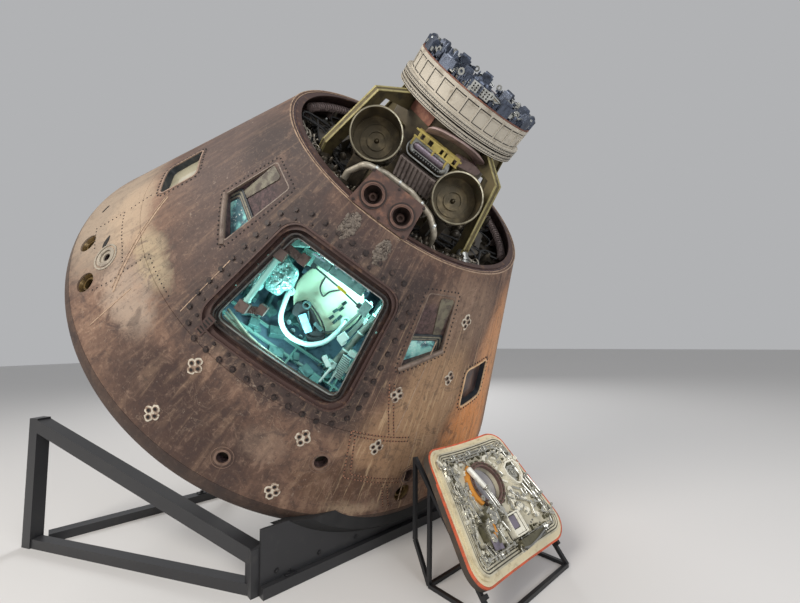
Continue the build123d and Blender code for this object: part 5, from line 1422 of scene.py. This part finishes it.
corner += inside(block(0.03, 0.06, 0.03), -0.235, 0.235, 0.37, 60)
capsule_piece("corner_boxes", corner, "mint_paint", "cabin_paint", bevel=0.004)
capsule_piece("floor_boxes", joined(floor_kit), "teal_metal", "cabin_paint", bevel=0.002)
rails = joined(block(1.5, 0.02, 0.014, (0, y, CABIN_FLOOR)) for y in (-1.22, -1.1, -0.98))
rails += joined(block(0.016, 0.4, 0.012, (x, -1.1, CABIN_FLOOR)) for x in (-0.3, 0.05, 0.42))
capsule_piece("floor_rails", rails, "mint_paint", "cabin_paint")
lamp_at = HATCH((0.0, 0.3, -0.62))
capsule_piece("cabin_lamp", block(0.34, 0.05, 0.03, lamp_at), "cabin_lamp", "cabin_paint")

# Hatch cover: rim and seals, window, latch band and gear, drawn as one sees its inner face

def cover_line(grow):
    """Outline of the cover's inner face, grown by an even margin."""
    return dense(hatch_line(grow, 9, 0.094), 0.03)


def fixed(shape, x, y, spin=0.0, z=0.0):
    """Sets a shape on the cover's inner face."""
    return on_cover(shape.moved(x, y, z, spin))


def frame_of(outer, inner, low, high):
    """Band round the cover's inner face between two margins."""
    return on_cover(band(cover_line(outer), cover_line(inner), low, high))


def strut(start, end, radius, height):
    """Rod laid over the cover between two places, with an eye at each end."""
    (x0, y0), (x1, y1) = start, end
    eyes = drum(radius * 2.1, height - radius * 1.2, height + radius * 1.2, 10)
    run = rod((x0, y0, height), (x1, y1, height), radius, 8)
    return on_cover(run + eyes.moved(x0, y0) + eyes.moved(x1, y1))


cover_piece("cover_edge_line", frame_of(0.0255, 0.015, -0.044, -0.03), "orange_rim", "brown_paint")
cover_piece("cover_flange_band", frame_of(0.0145, -0.0055, -0.035, -0.027), "rim_cream", "cabin_paint")
face_bands = joined(frame_of(-a, -a - 0.008, -0.002, 0.0035) for a in (0.023, 0.038, 0.053))
cover_piece("cover_face_bands", face_bands, "face_cream", "cabin_paint")
grooves = joined(frame_of(-a, -a - 0.006, -0.002, 0.0012) for a in (0.0315, 0.0465, 0.0615))
cover_piece("cover_grooves", grooves, "groove_dark", "seal")

WINDOW_UP, WINDOW_R = 0.075, 0.112
bezel_top = 0.02
rings = ring(WINDOW_R + 0.024, WINDOW_R + 0.016, bezel_top - 0.001, bezel_top + 0.004, 72)
rings += ring(WINDOW_R + 0.006, WINDOW_R - 0.004, bezel_top - 0.001, bezel_top + 0.003, 72)
cover_piece("window_beads", fixed(rings, 0, WINDOW_UP), "window_brown", "brown_paint")
clamp = (block(0.02, 0.016, 0.012) + drum(0.004, 0.011, 0.016, 6)).moved(y=WINDOW_R + 0.03)
clamps = joined(clamp.moved(spin=a) for a in range(10, 370, 20))
clamps += joined(bolt(0.0045, 0.006).moved(y=WINDOW_R + 0.012, z=bezel_top).moved(spin=a)
                 for a in range(0, 360, 15))
cover_piece("window_clamps", fixed(clamps, 0, WINDOW_UP), "gear_olive", "dark_metal")
crescent = np.radians(np.linspace(118, 222, 25))
crescent = np.stack([np.cos(crescent), np.sin(crescent)], -1)
outer, inner = crescent * 0.15 + (-0.018, 0.004), crescent * 0.131
gasket = fixed(prism(np.vstack([outer, inner[::-1]]), 0.0, 0.017), 0, WINDOW_UP)
cover_piece("amber_crescent", gasket, "amber_gasket", "brown_paint")

# Latch band: each latch is a bracket with a roller and a crank arm, linked to the next by rods

def cover_latch():
    """Bracket 62 by 34 mm: base, two cheeks, roller between them, crank arm, pin ends and bolts."""
    base = block(0.062, 0.034, 0.007)
    cheeks = block(0.046, 0.005, 0.026, (0, -0.012, 0.005)) + block(0.046, 0.005, 0.026, (0, 0.012, 0.005))
    roller = drum(0.0085, -0.01, 0.01, 12).lying().moved(-0.01, 0, 0.02)
    pins = joined(drum(0.0045, -0.018, 0.018, 8).lying().moved(x, 0, z)
                  for x, z in ((-0.01, 0.02), (0.014, 0.016)))
    arm = block(0.036, 0.007, 0.006).moved(axis="Y", spin=-32).moved(0.01, 0, 0.012)
    bolts = joined(bolt(0.0042, 0.006).moved(x, y, 0.006) for x in (-0.026, 0.026) for y in (-0.01, 0.01))
    return base + cheeks + roller + pins + arm + bolts


latch_line = cover_line(-0.072)
places, turns = evenly(latch_line, 15, start=0.5)
# Middles of the larger mechanisms
CASE_AT, INSET_AT, GUARD_AT = (0.036, -0.186), (0.012, -0.172), (0.26, 0.072)
WHEEL_AT, HANDLE_AT = (-0.15, -0.092), (0.105, -0.289)
# What the small mechanisms keep clear of: middle, width and length
MECHANISMS = ((*WHEEL_AT, 0.11, 0.1), (-0.222, -0.165, 0.095, 0.12), (*HANDLE_AT, 0.25, 0.046),
              (*CASE_AT, 0.128, 0.126), (*GUARD_AT, 0.112, 0.14))


def clear_of_mechanisms(points, margin):
    """True for each point that lies outside every mechanism's rectangle grown by a margin."""
    apart = [(abs(points - (x, y)) > np.array([w, l]) / 2 + margin).any(1) for x, y, w, l in MECHANISMS]
    return np.all(apart, axis=0)


free = clear_of_mechanisms(places, 0.03)
latches = joined(fixed(cover_latch(), x, y, a) for (x, y), a in zip(places[free], turns[free]))
cover_piece("cover_latch_gear", latches, "bright_steel", "bare_metal", replaces=("cover_latches",))


def link_plate(length, width, low, bolt_x):
    """Flat link with round ends and a bolt near each."""
    link = prism(oblong(length, width, width * 0.49), low, 0.009)
    return joined([link] + [bolt(0.005, 0.008).moved(x) for x in (bolt_x, -bolt_x)])


def crossed(w, l, h, pin_r, pin_half, pin_z):
    """Block with a pin across it."""
    return block(w, l, h) + drum(pin_r, -pin_half, pin_half, 8).lying().moved(z=pin_z)


KNOB = [(0.004, 0), (0.009, 0), (0.009, 0.006), (0.005, 0.01), (0.005, 0.018), (0.004, 0.018)]
SMALL_GEAR = (
    lambda s: block(0.03 * s, 0.012, 0.014 * s) + bolt(0.005, 0.008).moved(z=0.014 * s),
    lambda s: drum(0.009 * s, 0, 0.014, 14) + ring(0.011 * s, 0.006, 0.012, 0.018, 14),
    lambda s: crossed(0.012, 0.026 * s, 0.01, 0.004, 0.016, 0.014),
    lambda s: link_plate(0.036 * s, 0.01, 0.004, 0.014 * s),
    lambda s: lathe(KNOB, 10),
)
small = []
spots, turns = evenly(cover_line(-0.098), 64)
for (x, y), a in zip(spots + rng.normal(0, 0.008, (64, 2)), turns):
    kind, size = rng.integers(len(SMALL_GEAR)), rng.uniform(0.7, 1.25)
    part = SMALL_GEAR[kind](size)
    small.append(fixed(part, x, y, a + rng.choice([0, 0, 35, 90])))
cover_piece("cover_small_gear", joined(small), "gear_olive", "dark_metal")

tie_rods = []
for grow, height in ((-0.072, 0.012), (-0.086, 0.02)):
    spots = evenly(cover_line(grow), 30)[0]
    tie_rods += [strut(spots[i], spots[(i + 1) % 30], 0.0032, height) for i in range(30)
                 if (i + int(height * 1000)) % 5]
cover_piece("cover_tie_rods", joined(tie_rods), "bright_steel", "bare_metal")

# Rods: both ends, radius, height over the face
RODS = (
    ((0.35, 0.029), (0.382, -0.105), 0.005, 0.016), ((0.326, 0.02), (0.358, -0.106), 0.004, 0.018),
    ((0.304, 0.01), (0.334, -0.104), 0.004, 0.016), ((0.278, 0.0), (0.308, -0.101), 0.005, 0.016),
    ((-0.262, 0.205), (-0.25, 0.06), 0.0045, 0.018), ((-0.24, 0.215), (-0.222, 0.06), 0.004, 0.014),
    ((-0.255, 0.03), (-0.235, -0.105), 0.004, 0.026), ((-0.205, 0.262), (0.15, 0.266), 0.0045, 0.018),
    ((-0.18, 0.245), (0.05, 0.25), 0.0045, 0.024), ((-0.12, 0.282), (0.22, 0.276), 0.0035, 0.014),
    ((-0.3, -0.205), (-0.265, -0.275), 0.005, 0.022), ((-0.275, -0.2), (-0.235, -0.28), 0.004, 0.028),
    ((-0.245, -0.235), (-0.2, -0.285), 0.0045, 0.024), ((-0.33, -0.262), (-0.06, -0.262), 0.0055, 0.024),
    ((-0.15, -0.15), (-0.135, -0.25), 0.0045, 0.046), ((0.292, -0.13), (0.35, -0.16), 0.005, 0.02),
    ((0.35, -0.16), (0.3, -0.195), 0.005, 0.024), ((0.3, -0.195), (0.372, -0.235), 0.005, 0.02),
    ((0.372, -0.235), (0.405, -0.19), 0.004, 0.018), ((0.18, -0.07), (0.262, -0.122), 0.004, 0.018),
    ((0.262, -0.122), (0.236, -0.2), 0.0045, 0.02), ((0.15, -0.02), (0.19, -0.074), 0.005, 0.022),
    ((0.12, 0.214), (0.19, 0.236), 0.004, 0.016), ((0.215, 0.26), (0.3, 0.205), 0.004, 0.016),
    ((-0.11, -0.03), (-0.04, -0.118), 0.006, 0.058), ((-0.196, -0.04), (-0.205, 0.03), 0.005, 0.028),
)
cover_piece("cover_rods", joined(strut(a, b, r, h) for a, b, r, h in RODS), "bright_steel", "bare_metal")

# Counterbalance arm over the window's edge: white tapered barrel, then a silver neck to the gearbox

ARM_HIGH = 0.0375


def tapered(start, end, wide, narrow, n=20):
    """Round barrel whose radius falls evenly from one end to the other."""
    a, b = np.array([*start, ARM_HIGH]), np.array([*end, ARM_HIGH])
    length = np.linalg.norm(b - a)
    ahead = (b - a) / length
    side = np.cross((0, 0, 1), ahead)
    profile = [(0.0005, 0), (wide * 0.7, 0), (wide, 0.006), (narrow, length - 0.004), (narrow * 0.7, length),
               (0.0005, length)]
    return on_cover(lathe(profile, n).at(Place(a, np.array([side, np.cross(ahead, side), ahead]).T)))


arm = tapered((-0.118, 0.19), (-0.058, 0.058), 0.019, 0.0175)
neck = tapered((-0.06, 0.062), (-0.055, 0.05), 0.0215, 0.0215)
neck += tapered((-0.056, 0.052), (-0.026, -0.08), 0.012, 0.0075)
neck += joined(tapered((-0.056 + dx, 0.046 + dy), (-0.03 + dx, -0.07 + dy), 0.004, 0.004, n=10)
               for dx, dy in ((-0.017, -0.004), (0.017, 0.004)))
cover_piece("counterbalance_neck", neck, "bright_steel", "bare_metal")
cover_piece("counterbalance", arm, "chalk_white", "bare_metal", replaces=("cover_spring_rod",))
knuckle = fixed(drum(0.02, 0.018, 0.048, 20) + ring(0.026, 0.012, 0.028, 0.038, 20), -0.026, -0.088)
knuckle += fixed(block(0.05, 0.02, 0.012), -0.034, 0.04, 60, 0.032)
knuckle += fixed(drum(0.01, 0.03, 0.054, 14), -0.05, 0.058)
cover_piece("counterbalance_eye", knuckle, "bright_steel", "bare_metal")

# wheels: place, radius, low and high side; bars: place, three sizes, turn, height
WHEELS = (
    (*WHEEL_AT, 0.036, 0.055, 0.068), (-0.12, -0.064, 0.018, 0.055, 0.078),
    (-0.178, -0.118, 0.02, 0.055, 0.074), (-0.222, -0.13, 0.026, 0.049, 0.064),
    (-0.236, -0.19, 0.022, 0.049, 0.062), (-0.2, -0.06, 0.018, 0.02, 0.046),
    (-0.246, -0.085, 0.014, 0.01, 0.03), (-0.112, 0.01, 0.016, 0.004, 0.03),
)
BARS = (
    (-0.205, -0.14, 0.02, 0.09, 0.016, 8, 0.048), (-0.175, -0.06, 0.05, 0.014, 0.02, 20, 0.05),
    (-0.118, -0.112, 0.014, 0.06, 0.018, -12, 0.052), (-0.252, -0.165, 0.012, 0.08, 0.02, 0, 0.04),
    (-0.15, -0.15, 0.05, 0.03, 0.03, 0, 0.0), (-0.276, -0.24, 0.03, 0.04, 0.02, 10, 0.0),
)


def wheel(r, low, high):
    """Drum with a raised ring and a bolt on top."""
    disc = drum(r, low, high, 22) + ring(r * 0.6, r * 0.35, high - 0.001, high + 0.004, 18)
    return disc + bolt(r * 0.28, 0.007).moved(z=high)


gears = [fixed(wheel(r, low, high), x, y) for x, y, r, low, high in WHEELS]
gears += [fixed(block(w, l, h), x, y, a, z) for x, y, w, l, h, a, z in BARS]
cover_piece("gearbox_wheels", joined(gears), "bright_steel", "bare_metal")
plates = fixed(prism(oblong(0.082, 0.06, 0.004), 0.049, 0.053), -0.222, -0.218, -8)
plates += fixed(prism(oblong(0.06, 0.04, 0.004), 0.055, 0.06), -0.14, -0.098, 25)
cover_piece("gearbox_plate", plates, "purple_grey_plate", "bare_metal")
bronze = fixed(block(0.016, 0.044, 0.018), -0.192, -0.15, -14, 0.048)
bronze += fixed(block(0.01, 0.03, 0.012), -0.212, -0.182, -14, 0.049)
cover_piece("gearbox_bronze", bronze, "amber_gasket", "brown_paint")

# Small mechanisms spread over the rest of the face
BUSY = 240
spots = np.stack([rng.uniform(-0.345, 0.345, BUSY), rng.uniform(-0.265, 0.265, BUSY)], -1)
clear = (np.hypot(spots[:, 0], spots[:, 1] - WINDOW_UP) > 0.165) & clear_of_mechanisms(spots, 0.014)
FACE_GEAR = (
    lambda s: joined([block(0.034 * s, 0.016 * s, 0.01)]
                     + [bolt(0.0042, 0.006).moved(a * 0.012 * s, 0, 0.01) for a in (-1, 1)]),
    lambda s: drum(0.01 * s, 0, 0.012, 16) + ring(0.013 * s, 0.007, 0.01, 0.016, 16),
    lambda s: crossed(0.01, 0.044 * s, 0.012, 0.005, 0.014, 0.016),
    lambda s: link_plate(0.05 * s, 0.014, 0.003, 0.018 * s),
    lambda s: block(0.026 * s, 0.026 * s, 0.005) + block(0.018 * s, 0.018 * s, 0.016),
)
face_gear = ([], [])
for i, (x, y) in enumerate(spots[clear]):
    part = FACE_GEAR[i % 5](rng.uniform(0.8, 1.5))
    face_gear[i % 2].append(fixed(part, x, y, rng.choice([0, 90, 30, -35, 60])))
cover_piece("cover_face_gear", joined(face_gear[0]), "bright_steel", "bare_metal")
cover_piece("cover_face_plates", joined(face_gear[1]), "case_white", "cabin_paint")

# Flat case, its inset plate, a painted shadow round its foot, and the grip at its side
case_trim = band(oblong(0.124, 0.122, 0.01), oblong(0.11, 0.108, 0.006), -0.001, 0.004).moved(*CASE_AT)
case_trim += block(0.01, 0.106, 0.003, (0.084, -0.186, 0.0))
cover_piece("case_trim", upon(case_trim, "cover_case"), "case_white", "cabin_paint")
case_lines = band(oblong(0.11, 0.108, 0.006), oblong(0.104, 0.102, 0.004), -0.001, 0.0012).moved(*CASE_AT)
case_lines += block(0.004, 0.104, 0.0012, (0.076, -0.186, 0.0))
case_lines += band(oblong(0.068, 0.074, 0.006), oblong(0.06, 0.066, 0.004), 0.0, 0.0016).moved(*INSET_AT)
cover_piece("case_lines", upon(case_lines, "cover_case"), "groove_dark", "seal")
# dark band round the case's foot: painted shade where the case meets the face
case_shadow_band = band(oblong(0.138, 0.136, 0.012), oblong(0.126, 0.124, 0.01), 0.0, 0.004).moved(*CASE_AT)
cover_piece("case_shadow_band", on_cover(case_shadow_band), "groove_dark", "seal")
inset = prism(oblong(0.06, 0.066, 0.004), -0.001, 0.0014).moved(*INSET_AT)
cover_piece("case_inset", upon(inset, "cover_case"), "purple_grey_plate", "bare_metal")
grip = on_cover(rod((-0.056, -0.128, 0.02), (-0.03, -0.2, 0.02), 0.008, 12))
grip += joined(fixed(block(0.01, 0.01, 0.014), x, y) for x, y in ((-0.055, -0.131), (-0.031, -0.197)))
cover_piece("case_grip", grip, "bright_steel", "bare_metal")

# Shield-shaped guard with its pale rim and dial
GUARD_SCALE = 1.12
shield = GUARD_SCALE * np.array([(-0.055, 0.045), (-0.02, 0.07), (0.04, 0.066), (0.055, 0.03), (0.052, -0.03),
                                 (0.01, -0.072), (-0.018, -0.066), (-0.056, -0.005)])
cover_piece("guard_floor", fixed(prism(shield * 0.9, 0.0, 0.006), *GUARD_AT), "gear_olive", "dark_metal")
cover_piece("guard_frame", fixed(band(shield, shield * 0.86, 0.0, 0.03), *GUARD_AT), "case_white",
            "cabin_paint", replaces=("cover_guard",))
guard = prism(shield * 0.62, 0.0, 0.012) + ring(0.026, 0.02, 0.011, 0.018, 28)
guard += ring(0.014, 0.008, 0.011, 0.02, 20) + block(0.05, 0.007, 0.016, (0, 0.03, 0.011), 20)
cover_piece("guard_dial", fixed(guard, *GUARD_AT), "bright_steel", "bare_metal")

# Long handle in its channel
channel_line = [(-0.02, -0.305, 0.03), (0.03, -0.312, 0.034), (0.12, -0.302, 0.036), (0.228, -0.28, 0.034)]
channel_section = [(-0.004, -0.024), (0.004, -0.024), (0.004, 0.024), (-0.004, 0.024)]
channel = pipe(channel_line, 0, per=6, section=channel_section)
channel += bar((0.0, -0.29, 0.034), (0.225, -0.262, 0.034), 0.01, 0.01)
channel += rod((-0.006, -0.318, 0.04), (0.215, -0.3, 0.04), 0.004, 8)
cover_piece("handle_channel", on_cover(channel), "grey_metal", "bare_metal")
loop = pipe([(-0.02, -0.285, 0.036), (-0.04, -0.3, 0.04), (-0.036, -0.318, 0.04), (-0.01, -0.316, 0.038)],
            0.004, 8, 6)
cover_piece("handle_loop", on_cover(loop), "bright_steel", "bare_metal")
dots = np.stack([rng.uniform(-0.3, 0.32, 70), rng.uniform(-0.25, 0.25, 70)], -1)
dots = dots[np.hypot(dots[:, 0], dots[:, 1] - WINDOW_UP) > 0.16]
cover_piece("cover_screws", joined(fixed(bolt(0.0038, 0.005), x, y) for x, y in dots), "grey_metal",
            "bare_metal")

# Cradle: bolt heads at the beams' anchor holes and along the front plate's foot, and that foot's weld
ANCHOR, PLATE_HALF, BEAM_TOP, PLATE_FRONT = (0.86, 0.9), 1.075, 0.062, 0.868
anchor = block(0.07, 0.07, 0.008) + bolt(0.014, 0.016).moved(z=0.008)
anchors = joined(anchor.moved(sx * ANCHOR[0], sy * ANCHOR[1], BEAM_TOP) for sx in (-1, 1) for sy in (-1, 1))
head = bolt(0.011, 0.01).moved(axis="Y", spin=90)
anchors += joined(head.moved(PLATE_FRONT, y, BEAM_TOP + 0.045) for y in np.linspace(-0.98, 0.98, 8))
weld = [(PLATE_FRONT + 0.002, y, BEAM_TOP + 0.001) for y in (-PLATE_HALF, PLATE_HALF)]
anchors += bar(*weld, 0.007, 0.007)
piece("cradle_bolts", anchors, "black_frame", "black_frame", bevel=0.001)

# Floor, light and camera
FLOOR_HALF = 40.0
net = Net("floor", 0.7)
net.put({"Base Color": (0.62, 0.61, 0.6)})
data = bpy.data.meshes.new("floor")
corners = [(-1, -1), (1, -1), (1, 1), (-1, 1)]
data.from_pydata([(x * FLOOR_HALF, y * FLOOR_HALF, 0.0) for x, y in corners], [], [(0, 1, 2, 3)])
data.materials.append(net.material)
thing = bpy.data.objects.new("floor", data)
bpy.context.scene.collection.objects.link(thing)

world = bpy.data.worlds.new("studio")
bpy.context.scene.world = world
world.use_nodes = True
sky = world.node_tree.nodes["Background"]
sky.inputs["Color"].default_value = (0.8, 0.81, 0.83, 1)
sky.inputs["Strength"].default_value = 0.55


def lamp(name, at, to, size, power, colour=(1, 1, 1)):
    """Round area lamp at one point, turned to face another."""
    light = bpy.data.lights.new(name, "AREA")
    light.shape, light.size, light.energy, light.color = "DISK", size, power, colour
    thing = bpy.data.objects.new(name, light)
    thing.location = at
    back = at - np.asarray(to, float)
    back /= np.linalg.norm(back)
    side = np.cross((0, 0, 1), back)
    side /= np.linalg.norm(side)
    thing.rotation_euler = Matrix(np.array([side, np.cross(back, side), back]).T.tolist()).to_euler()
    bpy.context.scene.collection.objects.link(thing)


lamp("key", (1.5, -7.5, 6.5), (0.4, 0, 1.6), 4.0, 620, (1.0, 0.95, 0.88))
lamp("fill", (7.5, -1.0, 3.6), (0.6, 0, 1.4), 4.5, 240, (0.95, 0.97, 1.0))
lamp("back", (-5.5, 5.5, 6.0), (0, 0, 1.8), 4.5, 420)
# The exhibit's own blue-green cabin lamps: place and aim behind the hatch opening, size, power
CABIN_LIGHT = (0.58, 1.0, 1.0)
CABIN_LAMPS = {
    "cabin_high": ((0.05, 0.36, -0.4), (-0.05, 0.0, -0.55), 0.3, 3.6),
    "cabin_side": ((0.3, 0.3, -0.3), (0.2, -0.1, -0.6), 0.2, 3.0),
    "cabin_low": ((-0.02, -0.3, -0.2), (-0.3, 0.05, -0.42), 0.15, 4.5),
}
for name, (at, to, size, power) in CABIN_LAMPS.items():
    lamp(name, CAPSULE(HATCH(at)), CAPSULE(HATCH(to)), size, power, CABIN_LIGHT)

camera = bpy.data.cameras.new("camera")
camera.lens, camera.sensor_width, camera.clip_end = 17.74, 36.0, 200
view = bpy.data.objects.new("camera", camera)
CAMERA_AT = (3.157, -2.046, 1.42)
ahead, up = np.array([-0.7378, 0.6683, 0.0953]), np.array([0.0851, -0.048, 0.9952])
right = np.cross(ahead, up)
axes = np.array([right, np.cross(right, ahead), -ahead]).T
axes = Matrix((axes / np.linalg.norm(axes, axis=0)).tolist())
view.matrix_world = Matrix.Translation(CAMERA_AT) @ axes.to_4x4()
bpy.context.scene.collection.objects.link(view)
bpy.context.scene.camera = view
bpy.context.scene.view_settings.view_transform = "Standard"
